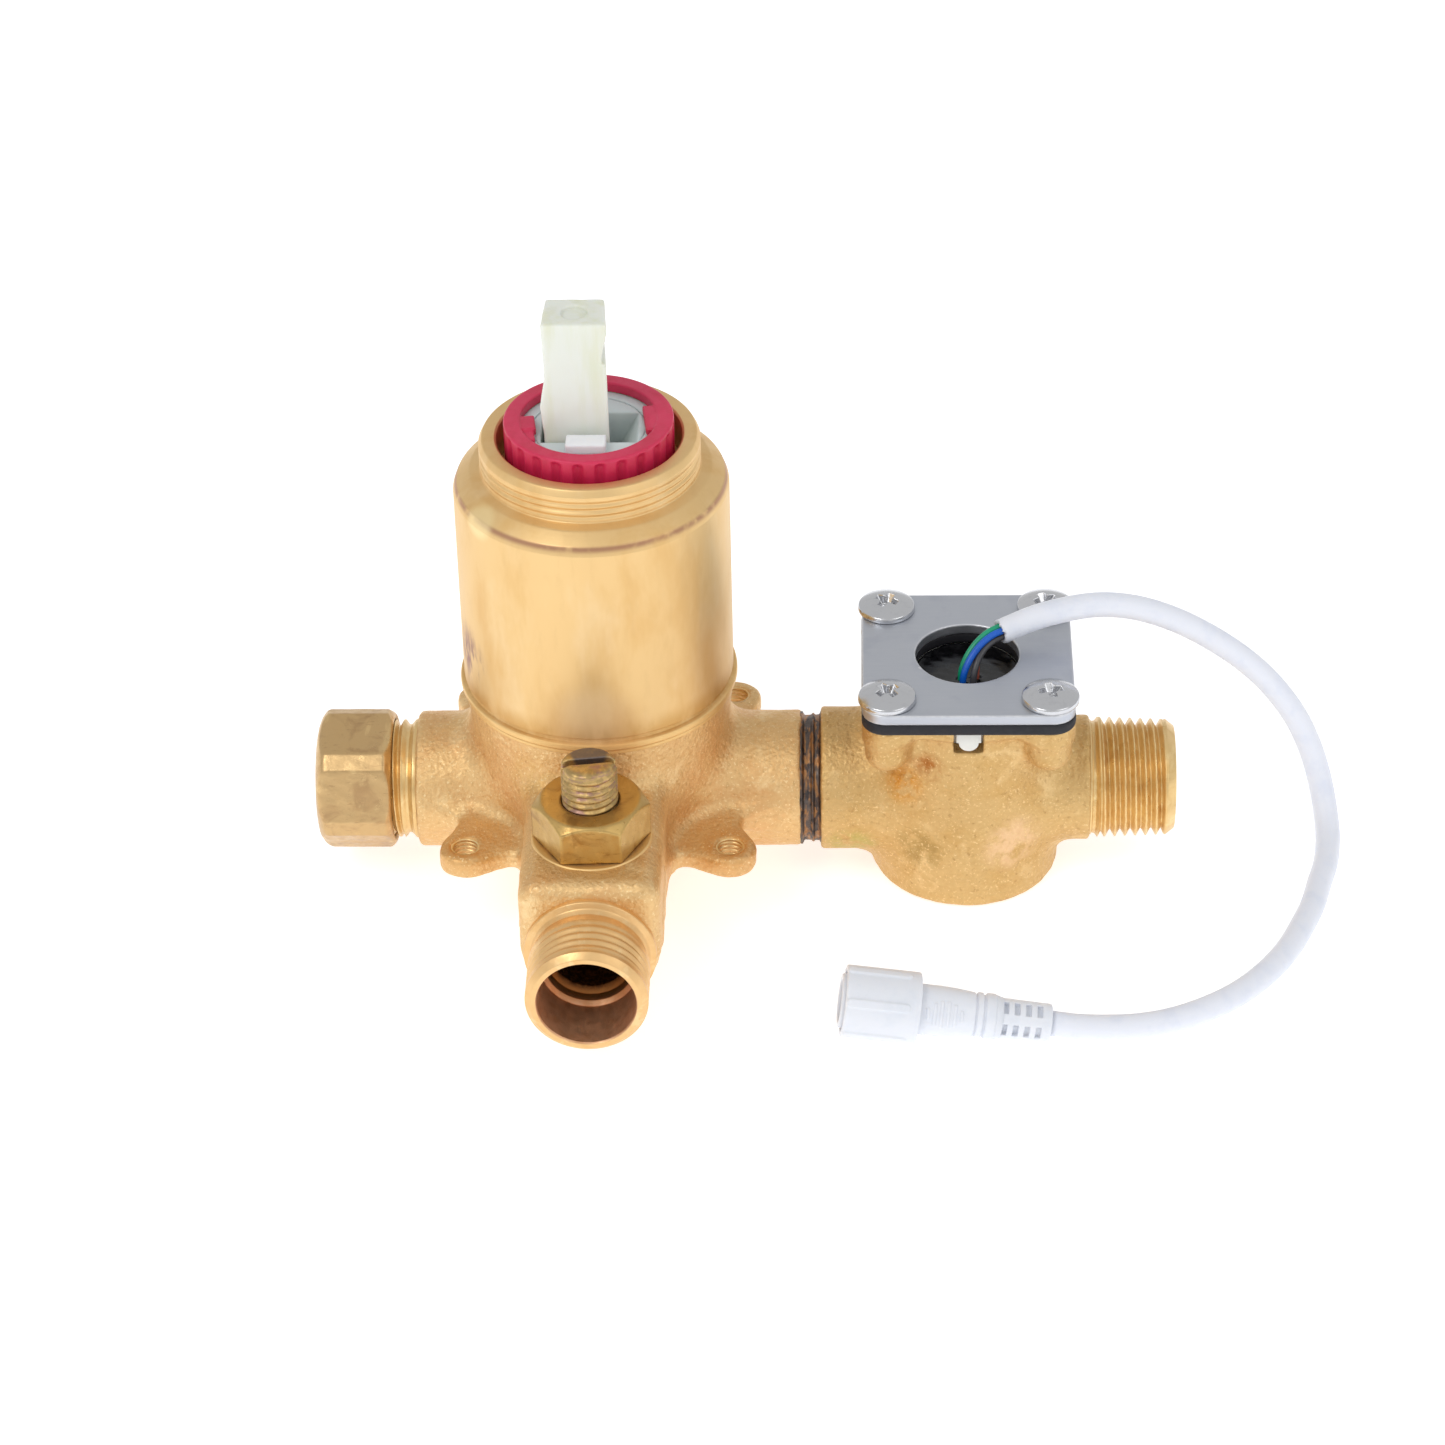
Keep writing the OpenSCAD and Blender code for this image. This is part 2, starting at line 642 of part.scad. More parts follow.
// Square plate or gasket with a centre hole and four screw holes
module clamp_shape(w, corner_r, centre_r, hole_r, z0, z1) {
    difference() {
        translate([sensor_x, 0, z0]) linear_extrude(z1 - z0) polygon(round_square(w, corner_r));
        translate([sensor_x, 0, 0]) rod_z(centre_r, z0 - 1, z1 + 1);
        at_screws() rod_z(hole_r, z0 - 1, z1 + 1);
    }
}

module flange_gasket() color("dimgray") clamp_shape(plate_w + 0.2, 4.1, 9.2, 2.2, cup_top_z, plate_z);
module clamp_plate() color("lightsteelblue") {
    clamp_shape(plate_w, 4, plate_hole_d / 2, 2.2, plate_z, plate_top_z);
}

// Four cross-recess pan head screws
module clamp_screws() {
    head_r = 5;
    head_h = 2.3;
    rim_h = 0.8;
    dome_r = 9;
    shank_r = 1.95;
    recess_w = 1;
    color("silver") at_screws() translate([0, 0, plate_top_z]) difference() {
        union() {
            rod_z(shank_r, -plate_t - gasket_t - 7.6, 0.5);
            intersection() {
                rod_z(head_r, 0, head_h);
                translate([0, 0, head_h - dome_r]) sphere(r = dome_r, $fn = 48);
            }
            rod_z(head_r, 0, rim_h);
        }
        for (turn = [25, 115]) rotate(turn) translate([0, 0, head_h]) cube([4.4, recess_w, 2.4], center = true);
    }
}

// ---- Wires, cable and connector ----

sheath_axis = unit(cable_route[1] - cable_route[0]);
sheath_side = unit(cross(sheath_axis, [0, 0, 1]));
sheath_up = cross(sheath_side, sheath_axis);

// Points of a curve from the potting to the cut end of the sheath
function bezier(a, b, c, d, steps) =
    [for (i = [0:steps]) let (t = i / steps, s = 1 - t)
        s * s * s * a + 3 * s * s * t * b + 3 * s * t * t * c + t * t * t * d];

// One conductor: from its foot on the potting to its place in the sheath, given across and up
module wire(foot, across, up) {
    wire_r = 0.52;
    start = [foot.x, foot.y, potting_z];
    finish = cable_route[0] + across * sheath_side + up * sheath_up;
    straight = 0.6;
    curve = bezier(start + [0, 0, straight], start + [0, 0, 4], finish - 4.2 * sheath_axis,
        finish - straight * sheath_axis, 6);
    swept_tube(concat([start], curve, [finish]), wire_r, 8, [0, 1, 0]);
}

module wire_blue() color("royalblue") wire([63.4, -3.8], 0.64, 0.57);
module wire_green() color("seagreen") wire([63.1, -2.3], -0.49, 0.71);
module wire_brown() color("sienna") wire([65.7, -1.9], -0.69, -0.52);
module wire_black() color("dimgray") wire([65.2, -4.2], 0.55, -0.66);

module cable() color("white") swept_tube(cable_route, cable_r, 10);

// Local frame of the connector: +X runs from the plug face to the cable
module at_connector() translate(connector_pos) rotate([0, connector_tilt, 0]) children();

plug_r = 4.7;
nut_len = 12.8;
body_end = 22.4;
collar_end = 26.4;

// Plug, tapered grip and the grooved collar behind it
module connector_body() {
    color("white") at_connector() difference() {
        union() {
            rod_x(plug_r, -0.6, nut_len - 1.4);
            rod_x(4.4, nut_len - 1.4, nut_len + 0.4);
            translate([nut_len + 0.4, 0, 0]) rotate([0, 90, 0])
                cylinder(r1 = 4.8, r2 = 3.9, h = body_end - nut_len - 0.4);
            rod_x(3.1, body_end, collar_end);
            for (x = [body_end + 0.8, body_end + 2.6]) rod_x(3.6, x, x + 1);
        }
        rod_x(3.6, -2, 7);
    }
}

// Coupling nut with ribs for the fingers, which turns on the plug
module connector_nut() {
    rib_count = 6;
    nut_r = coupling_d / 2;
    color("white") at_connector() difference() {
        union() {
            rod_x(nut_r - 0.35, 0, nut_len);
            for (i = [0:rib_count - 1]) rotate([360 * i / rib_count, 0, 0])
                translate([1, -0.7, 0]) cube([nut_len - 2.4, 1.4, nut_r - 0.05]);
        }
        rod_x(plug_r + 0.45, -1, nut_len - 1.3);
        rod_x(4.4 + 0.07, -1, nut_len + 1);
    }
}

module connector_pins() {
    color("gold") at_connector() for (a = [45:90:315]) rotate([a, 0, 0])
        translate([0, 0, 1.9]) rod_x(0.5, 1.5, 7);
}

module connector_seal() {
    color("dimgray") at_connector() difference() {
        rod_x(plug_r + 0.3, 8.6, 9.8);
        rod_x(plug_r, 8, 10.4);
    }
}

// Slotted sleeve that keeps the cable from bending sharply at the connector
module strain_relief() {
    slot_pitch = 2.2;
    slot_w = 1;
    sleeve_r1 = 3.6;
    sleeve_r2 = 3.2;
    color("white") at_connector() difference() {
        translate([collar_end, 0, 0]) rotate([0, 90, 0])
            cylinder(r1 = sleeve_r1, r2 = sleeve_r2, h = connector_len - collar_end);
        for (row = [0:3], side = [-1, 1]) translate([collar_end + 1 + row * slot_pitch, 0, side * 3.3])
            translate([0, -2.2, -1]) cube([slot_w, 4.4, 2]);
    }
}

valve_body();
cartridge_base();
base_seals();
cartridge_housing();
housing_oring();
fixed_disc();
disc_seals();
moving_disc();
disc_carrier();
rotor();
rotor_oring();
lever();
lever_pin();
hot_limit_ring();
green_index_ring();
retaining_nut();
front_bonnet();
front_stop_stem();
front_stop_oring();
front_stop_washer();
back_bonnet();
back_stop_stem();
back_stop_oring();
back_stop_washer();
outlet_cap();
cap_gasket();
braze_ring();
sensor_body();
turbine_cage();
impeller();
impeller_magnet();
impeller_axle();
sensor_capsule();
capsule_oring();
hall_board();
potting();
flange_gasket();
clamp_plate();
clamp_screws();
wire_blue();
wire_green();
wire_brown();
wire_black();
cable();
connector_body();
connector_nut();
connector_pins();
connector_seal();
strain_relief();
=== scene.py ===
"""Looks for the shower mixing valve with its flow sensor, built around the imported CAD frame.

Shapes are written in millimetres in the frame's axes and scaled to metres when a mesh is made.
"""

import math

import bmesh
import bpy
import numpy as np
from mathutils import Matrix, Vector


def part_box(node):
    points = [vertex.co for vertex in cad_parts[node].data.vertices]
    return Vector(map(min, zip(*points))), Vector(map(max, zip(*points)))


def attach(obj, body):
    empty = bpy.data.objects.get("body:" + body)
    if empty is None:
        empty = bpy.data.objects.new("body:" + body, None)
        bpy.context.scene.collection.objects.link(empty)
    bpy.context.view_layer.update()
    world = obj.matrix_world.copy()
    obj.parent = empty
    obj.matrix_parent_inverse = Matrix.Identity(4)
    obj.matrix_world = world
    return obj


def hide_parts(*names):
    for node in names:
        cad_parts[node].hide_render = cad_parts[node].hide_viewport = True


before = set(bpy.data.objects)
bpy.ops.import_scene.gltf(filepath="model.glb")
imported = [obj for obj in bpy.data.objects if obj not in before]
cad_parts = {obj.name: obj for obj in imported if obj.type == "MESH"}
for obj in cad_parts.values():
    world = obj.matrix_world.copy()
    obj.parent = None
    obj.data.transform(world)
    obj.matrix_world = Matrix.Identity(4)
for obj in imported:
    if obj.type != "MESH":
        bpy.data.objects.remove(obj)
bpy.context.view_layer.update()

MM = 0.001
TURN = 2 * math.pi
COARSE = 1


def span(node):
    """Lowest and highest corner of a CAD node, in millimetres."""
    low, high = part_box(node)
    return np.array(low) / MM, np.array(high) / MM


# ---- Places, read from the frame ----

body_low, body_high = span("valve_body")
cap_low, cap_high = span("outlet_cap")
braze_low, braze_high = span("braze_ring")
sensor_low, sensor_high = span("sensor_body")
plate_low, plate_high = span("clamp_plate")
gasket_low, gasket_high = span("flange_gasket")
potting_high = span("potting")[1]
bonnet_low, bonnet_high = span("front_bonnet")
stem_low, stem_high = span("front_stop_stem")
ring_low, ring_high = span("hot_limit_ring")
lever_low, lever_high = span("lever")
rotor_low, rotor_high = span("rotor")
housing_high = span("cartridge_housing")[1]
nut_low, nut_high = span("retaining_nut")

floor_z = body_low[2]
rim_z = body_high[2]
sensor_x = (plate_low[0] + plate_high[0]) / 2
stop_y = -(bonnet_low[1] + bonnet_high[1]) / 2
inlet_end = body_high[1]
hex_bottom = 13.6


# ---- Camera ----

def aim_camera(target, distance, azimuth, elevation, roll, lens):
    """A camera that looks at a point in millimetres; azimuth 0 looks along +Y."""
    turn, lift, tilt = (math.radians(a) for a in (azimuth, elevation, roll))
    back = Vector((math.sin(turn) * math.cos(lift), -math.cos(turn) * math.cos(lift), math.sin(lift)))
    across = Vector((math.cos(turn), math.sin(turn), 0))
    above = back.cross(across)
    right = across * math.cos(tilt) + above * math.sin(tilt)
    up = above * math.cos(tilt) - across * math.sin(tilt)
    data = bpy.data.cameras.new("camera")
    data.lens = lens
    data.clip_start = 0.01
    data.clip_end = 20
    camera = bpy.data.objects.new("camera", data)
    bpy.context.scene.collection.objects.link(camera)
    place = Matrix((right, up, back)).transposed().to_4x4()
    place.translation = (Vector(target) + back * distance) * MM
    camera.matrix_world = place
    bpy.context.scene.camera = camera


aim_camera((21.31, 0.02, 11.9), 800, 2.22, 35.15, -1.41, 113.18)


# ---- Shapes as distance fields: negative inside, in millimetres ----

def length(*parts):
    """Distance from the origin."""
    return np.sqrt(sum(p * p for p in parts))


def join(a, b, k=0.0):
    """Union of two fields with a fillet of about k."""
    if not k:
        return np.minimum(a, b)
    h = np.maximum(k - np.abs(a - b), 0) / k
    return np.minimum(a, b) - 0.25 * k * h * h


def common(a, b, k=0.0):
    """Intersection with an edge rounded by about k."""
    return -join(-a, -b, k)


def cut(a, b, k=0.0):
    """Field a less field b."""
    return -join(-a, b, k)


def slab(v, low, high):
    """Between two planes."""
    return np.maximum(low - v, v - high)


def round_rod(across, along, radius, low, high, edge=0.0):
    """A cylinder from its radial distance and its axial coordinate."""
    return common(across - radius, slab(along, low, high), edge)


def corner(a, b):
    """Distance past a right-angled edge, given the distances past its two faces."""
    return length(np.maximum(a, 0), np.maximum(b, 0)) + np.minimum(np.maximum(a, b), 0)


def graded(v, places, values):
    """A value that varies along one coordinate."""
    return np.interp(np.ravel(v), places, values).reshape(np.shape(v))


def spun(x, y, degrees):
    """Coordinates in axes turned by an angle."""
    c, s = math.cos(math.radians(degrees)), math.sin(math.radians(degrees))
    return x * c + y * s, y * c - x * s


def block(x, y, z, low, high, edge=0.3):
    """A box with rounded edges, given by two corners."""
    q = [np.abs(v - (a + b) / 2) - (b - a) / 2 + edge for v, a, b in zip((x, y, z), low, high)]
    outer = np.sqrt(sum(np.maximum(v, 0) ** 2 for v in q))
    return outer + np.minimum(np.maximum(np.maximum(q[0], q[1]), q[2]), 0) - edge


def hexagon(u, v, flat_to_flat, turn=0.0):
    """A regular hexagon; at turn 0 a corner lies on +u."""
    sides = []
    for k in range(3):
        angle = math.radians(30 + 60 * k) + turn
        sides.append(np.abs(u * math.cos(angle) + v * math.sin(angle)) - flat_to_flat / 2)
    return np.maximum(np.maximum(sides[0], sides[1]), sides[2])


def lumps(x, y, z, size, seed, count=6):
    """Smooth unevenness from -1 to 1 with features of about the given size."""
    rng = np.random.default_rng(seed)
    total = 0
    for _ in range(count):
        axis = rng.normal(size=3)
        axis *= TURN / size * rng.uniform(0.6, 1.4) / np.linalg.norm(axis)
        total = total + np.sin(x * axis[0] + y * axis[1] + z * axis[2] + rng.uniform(0, TURN))
    return total / count


def helix(angle, along, pitch, crest=0.12, root=0.12):
    """0 on the crest of a right-hand V thread and 1 at its root."""
    across = np.abs((along / pitch - angle / TURN) % 1 - 0.5) * 2
    return np.clip((1 - crest - across) / (1 - crest - root), 0, 1)


def surface_net(field, low, high, cell):
    """Quads on the zero surface of a field: one vertex for each grid cell that the surface crosses."""
    axes = [np.arange(a - 1.5 * cell, b + 2.5 * cell, cell) for a, b in zip(low, high)]
    origin = np.array([a[0] for a in axes])
    grid = np.meshgrid(*(a.astype(np.float32) for a in axes), indexing="ij", sparse=True)
    value = np.broadcast_to(field(*grid), [len(a) for a in axes]).astype(np.float32)
    for axis in range(3):
        edge = np.moveaxis(value, axis, 0)
        edge[[0, -1]] = np.maximum(edge[[0, -1]], 0.01)
    inside = value < 0
    cell_lists, point_lists = [], []
    for axis in range(3):
        first = [slice(None)] * 3
        second = [slice(None)] * 3
        first[axis] = slice(None, -1)
        second[axis] = slice(1, None)
        crossed = np.argwhere(inside[tuple(first)] != inside[tuple(second)])
        here = value[tuple(crossed.T)]
        beyond = crossed.copy()
        beyond[:, axis] += 1
        share = here / (here - value[tuple(beyond.T)])
        point = crossed.astype(float)
        point[:, axis] += share
        u, v = (axis + 1) % 3, (axis + 2) % 3
        ring = np.repeat(crossed[:, None, :], 4, axis=1)
        ring[:, 1, u] -= 1
        ring[:, 2, u] -= 1
        ring[:, 2, v] -= 1
        ring[:, 3, v] -= 1
        ring[here > 0] = ring[here > 0][:, ::-1]
        cell_lists.append(np.ravel_multi_index(tuple(ring.reshape(-1, 3).T), value.shape))
        point_lists.append(np.repeat(point, 4, axis=0))
    cells = np.concatenate(cell_lists)
    points = np.concatenate(point_lists)
    _, index = np.unique(cells, return_inverse=True)
    count = np.bincount(index)
    mean = np.stack([np.bincount(index, points[:, k]) / count for k in range(3)], 1)
    return settle(field, mean * cell + origin, cell), index.reshape(-1, 4)


def settle(field, points, cell, rounds=4):
    """Moves vertices onto the field's zero surface."""
    step = cell * 0.25
    for _ in range(rounds):
        x, y, z = points.T
        here = field(x, y, z)
        slope = np.stack([
            field(x + step, y, z) - field(x - step, y, z),
            field(x, y + step, z) - field(x, y - step, z),
            field(x, y, z + step) - field(x, y, z - step),
        ], 1) / (2 * step)
        size = np.maximum((slope ** 2).sum(1), 0.2)
        move = slope * (here / size)[:, None]
        far = np.linalg.norm(move, axis=1)
        move *= np.minimum(1, 0.5 * cell / np.maximum(far, 1e-9))[:, None]
        points = points - move
    return points


# ---- Turned shapes and tubes ----

def outline(*corners):
    """A closed outline from (radius, height, rounding, thread) corners; the last two may be left out.

    A thread of 1 marks the run up to the next corner as threaded, which is sampled finely.
    """
    corners = [tuple(c) + (0,) * (4 - len(c)) for c in corners]
    count = len(corners)
    rows = []
    for i, (radius, height, rounding, threaded) in enumerate(corners):
        here = np.array([radius, height], float)
        before = np.array(corners[i - 1][:2], float)
        after = np.array(corners[(i + 1) % count][:2], float)
        if rounding:
            back = (before - here) / np.linalg.norm(before - here)
            ahead = (after - here) / np.linalg.norm(after - here)
            half = math.acos(np.clip(back @ ahead, -1, 1)) / 2
            reach = rounding / math.tan(half)
            start, end = here + back * reach, here + ahead * reach
            for s in np.linspace(0, 1, 5):
                point = (1 - s) ** 2 * start + 2 * s * (1 - s) * here + s ** 2 * end
                rows.append((*point, 0))
        else:
            rows.append((*here, 0))
        if threaded:
            steps = max(2, int(np.linalg.norm(after - here) / (0.11 * COARSE)))
            rows[-1] = (*rows[-1][:2], 1)
            start = np.array(rows[-1][:2])
            for s in np.arange(1, steps) / steps:
                rows.append((*(start + (after - start) * s), 1))
    return np.array(rows)


def turned(rows, segments=144, pitch=1.8, depth=0.0, fade=0.8, wobble=0.0, seed=0):
    """Turns an outline about +Z. Threaded rows are cut to the given depth, fading in and out."""
    segments //= COARSE
    angle = np.arange(segments) * TURN / segments
    radius = np.repeat(rows[:, :1], segments, 1)
    height = np.repeat(rows[:, 1:2], segments, 1)
    if depth:
        marked = rows[rows[:, 2] > 0][:, 1]
        ends = np.minimum(height - marked.min(), marked.max() - height)
        share = np.clip(ends / fade, 0, 1) * (rows[:, 2:3] > 0)
        radius = radius - depth * share * helix(angle[None, :], height, pitch)
    if wobble:
        x, y = radius * np.cos(angle), radius * np.sin(angle)
        radius = radius + wobble * lumps(x, y, height, 4, seed) * (radius > 0)
    points = np.stack([radius * np.cos(angle), radius * np.sin(angle), height], -1).reshape(-1, 3)
    count = len(rows)
    i, j = np.meshgrid(np.arange(count), np.arange(segments), indexing="ij")
    after, beside = (i + 1) % count, (j + 1) % segments
    faces = [i * segments + j, after * segments + j, after * segments + beside, i * segments + beside]
    return points, np.stack(faces, -1).reshape(-1, 4)


def aimed(shape, direction, origin=(0, 0, 0)):
    """A shape made about +Z, turned to point along a direction and moved."""
    points, faces = shape
    turn = np.array(Vector((0, 0, 1)).rotation_difference(Vector(direction)).to_matrix())
    return points @ turn.T + np.array(origin), faces


def together(*shapes):
    """Several shapes as one."""
    points, faces, start = [], [], 0
    for p, f in shapes:
        points.append(p)
        faces.append(f + start)
        start += len(p)
    return np.concatenate(points), np.concatenate(faces)


def smooth_path(route, spacing):
    """Evenly spaced points on a Catmull-Rom curve through a route."""
    route = np.array(route, float)
    ends = np.concatenate([[2 * route[0] - route[1]], route, [2 * route[-1] - route[-2]]])
    fine = []
    for a, b, c, d in zip(ends, ends[1:], ends[2:], ends[3:]):
        for t in np.linspace(0, 1, 24, endpoint=False):
            fine.append(0.5 * (2 * b + (c - a) * t + (2 * a - 5 * b + 4 * c - d) * t ** 2
                               + (3 * b - a - 3 * c + d) * t ** 3))
    fine.append(route[-1])
    fine = np.array(fine)
    walked = np.concatenate([[0], np.cumsum(np.linalg.norm(np.diff(fine, axis=0), axis=1))])
    count = max(3, int(round(walked[-1] / spacing)) + 1)
    even = np.linspace(0, walked[-1], count)
    return np.stack([np.interp(even, walked, fine[:, k]) for k in range(3)], 1)


def carried_frames(path):
    """Tangent, side and up at each point of a path, carried along without twist."""
    tangent = np.gradient(path, axis=0)
    tangent /= np.linalg.norm(tangent, axis=1)[:, None]
    side = np.cross(tangent[0], [0, 0, 1])
    sides = []
    for t in tangent:
        side = side - t * (side @ t)
        side = side / np.linalg.norm(side)
        sides.append(side)
    sides = np.array(sides)
    return tangent, sides, np.cross(sides, tangent)


def tube(path, rows, sides=32):
    """A tube on a path. rows are (distance along the path, radius), closed at radius 0 at both ends."""
    tangent, side, up = carried_frames(path)
    walked = np.concatenate([[0], np.cumsum(np.linalg.norm(np.diff(path, axis=0), axis=1))])

    def along(values, where):
        return np.stack([np.interp(where, walked, values[:, k]) for k in range(3)], -1)

    where = np.array([r[0] for r in rows])
    radius = np.array([r[1] for r in rows])
    angle = np.arange(sides) * TURN / sides
    centre = along(path, where)[:, None, :]
    across = along(side, where)[:, None, :] * np.cos(angle)[None, :, None]
    above = along(up, where)[:, None, :] * np.sin(angle)[None, :, None]
    points = centre + radius[:, None, None] * (across + above)
    i, j = np.meshgrid(np.arange(len(rows) - 1), np.arange(sides), indexing="ij")
    beside = (j + 1) % sides
    faces = [i * sides + j, i * sides + beside, (i + 1) * sides + beside, (i + 1) * sides + j]
    return points.reshape(-1, 3), np.stack(faces, -1).reshape(-1, 4)


def piece(name, shape, finish, body, slot, stands_for=(), sharp=None):
    """One finished piece that rides on a CAD body."""
    points, faces = shape
    mesh = bpy.data.meshes.new(name)
    mesh.from_pydata((points * MM).tolist(), [], faces.tolist())
    work = bmesh.new()
    work.from_mesh(mesh)
    bmesh.ops.remove_doubles(work, verts=work.verts, dist=1e-7)
    bmesh.ops.recalc_face_normals(work, faces=work.faces)
    work.to_mesh(mesh)
    work.free()
    mesh.polygons.foreach_set("use_smooth", [True] * len(mesh.polygons))
    if sharp:
        mesh.set_sharp_from_angle(angle=math.radians(sharp))
    mesh.materials.append(finish)
    made = bpy.data.objects.new(name, mesh)
    bpy.context.scene.collection.objects.link(made)
    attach(made, body)
    if stands_for:
        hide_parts(*stands_for)
    return made


def moulded(name, field, low, high, cell, *how, **more):
    """A piece made from a field inside a box."""
    return piece(name, surface_net(field, low, high, cell * COARSE), *how, **more)


# ---- Materials ----

def tint(red, green, blue):
    """A colour given in screen values from 0 to 255, as linear light."""
    return [*((v / 255) ** 2.2 for v in (red, green, blue)), 1]


class Finish:
    """A material built from layers of noise in the frame's coordinates, with sizes in millimetres."""

    def __init__(self, name, colour, metallic=0.0, roughness=0.5, **shader):
        self.material = bpy.data.materials.new(name)
        self.material.use_nodes = True
        self.tree = self.material.node_tree
        self.shader = self.tree.nodes["Principled BSDF"]
        self.shader.inputs["Metallic"].default_value = metallic
        self.shader.inputs["Roughness"].default_value = roughness
        self.shader.inputs["Base Color"].default_value = colour
        for key, value in shader.items():
            self.shader.inputs[key.replace("_", " ")].default_value = value
        self.where = self.node("ShaderNodeTexCoord").outputs["Object"]
        self.colour = colour
        self.height = None

    def node(self, kind, **settings):
        made = self.tree.nodes.new(kind)
        for key, value in settings.items():
            setattr(made, key, value)
        return made

    def link(self, source, target):
        self.tree.links.new(source, target)

    def placed(self, stretch):
        mapping = self.node("ShaderNodeMapping")
        mapping.inputs["Scale"].default_value = stretch
        self.link(self.where, mapping.inputs["Vector"])
        return mapping.outputs["Vector"]

    def noise(self, size, stretch=(1, 1, 1), detail=4, distortion=0.0):
        """Noise with features of about that many millimetres; a stretch below 1 draws it out."""
        made = self.node("ShaderNodeTexNoise")
        made.inputs["Scale"].default_value = 1 / (size * MM)
        made.inputs["Detail"].default_value = detail
        made.inputs["Roughness"].default_value = 0.6
        made.inputs["Distortion"].default_value = distortion
        self.link(self.placed(stretch), made.inputs["Vector"])
        return made.outputs["Fac"]

    def cells(self, size):
        """Distance to scattered points about that many millimetres apart."""
        made = self.node("ShaderNodeTexVoronoi")
        made.inputs["Scale"].default_value = 1 / (size * MM)
        self.link(self.where, made.inputs["Vector"])
        return made.outputs["Distance"]

    def axis(self, which):
        """One coordinate, in metres."""
        made = self.node("ShaderNodeSeparateXYZ")
        self.link(self.where, made.inputs[0])
        return made.outputs[which]

    def near(self, point):
        """Distance in metres from a point given in millimetres."""
        made = self.node("ShaderNodeVectorMath", operation="DISTANCE")
        self.link(self.where, made.inputs[0])
        made.inputs[1].default_value = [v * MM for v in point]
        return made.outputs["Value"]

    def radial(self, keep):
        """Distance in metres from the axis whose coordinate is given 0 in keep."""
        made = self.node("ShaderNodeVectorMath", operation="LENGTH")
        self.link(self.placed(keep), made.inputs[0])
        return made.outputs["Value"]

    def level(self, source, low, high, start=0.0, end=1.0):
        """A smooth step of a value from low to high."""
        made = self.node("ShaderNodeMapRange", interpolation_type="SMOOTHSTEP")
        self.link(source, made.inputs["Value"])
        for key, value in (("From Min", low), ("From Max", high), ("To Min", start), ("To Max", end)):
            made.inputs[key].default_value = value
        return made.outputs["Result"]

    def times(self, a, b, operation="MULTIPLY"):
        """Two values multiplied, or combined by another operation."""
        made = self.node("ShaderNodeMath", operation=operation)
        for socket, value in zip(made.inputs, (a, b)):
            if isinstance(value, (int, float)):
                socket.default_value = value
            else:
                self.link(value, socket)
        return made.outputs[0]

    def paint(self, mask, colour):
        """Blends a colour over what is there, by a mask from 0 to 1."""
        made = self.node("ShaderNodeMix", data_type="RGBA")
        self.link(mask, made.inputs["Factor"])
        base = made.inputs[6]
        if isinstance(self.colour, list):
            base.default_value = self.colour
        else:
            self.link(self.colour, base)
        made.inputs[7].default_value = colour
        self.colour = made.outputs[2]
        self.link(self.colour, self.shader.inputs["Base Color"])
        return self

    def mottle(self, size, low, high, amount, colour, stretch=(1, 1, 1), detail=4, distortion=0.0):
        """Patches of a colour where noise of a size rises from low to high."""
        noise = self.noise(size, stretch, detail, distortion)
        return self.paint(self.level(noise, low, high, 0, amount), colour)

    def rough(self, source, low, high):
        """Roughness that follows a value."""
        self.link(self.level(source, 0.25, 0.75, low, high), self.shader.inputs["Roughness"])
        return self

    def bump(self, source, depth, strength=1.0):
        """Adds fine relief of about that many millimetres."""
        made = self.node("ShaderNodeBump")
        made.inputs["Strength"].default_value = strength
        made.inputs["Distance"].default_value = depth * MM
        self.link(source, made.inputs["Height"])
        if self.height:
            self.link(self.height, made.inputs["Normal"])
        self.height = made.outputs["Normal"]
        self.link(self.height, self.shader.inputs["Normal"])
        return self

    def worn_edges(self, colour, low=0.52, high=0.62, size=0.8):
        """Lightens or darkens convex edges, broken up by noise."""
        shape = self.node("ShaderNodeNewGeometry").outputs["Pointiness"]
        return self.paint(self.times(self.level(shape, low, high), self.noise(size)), colour)


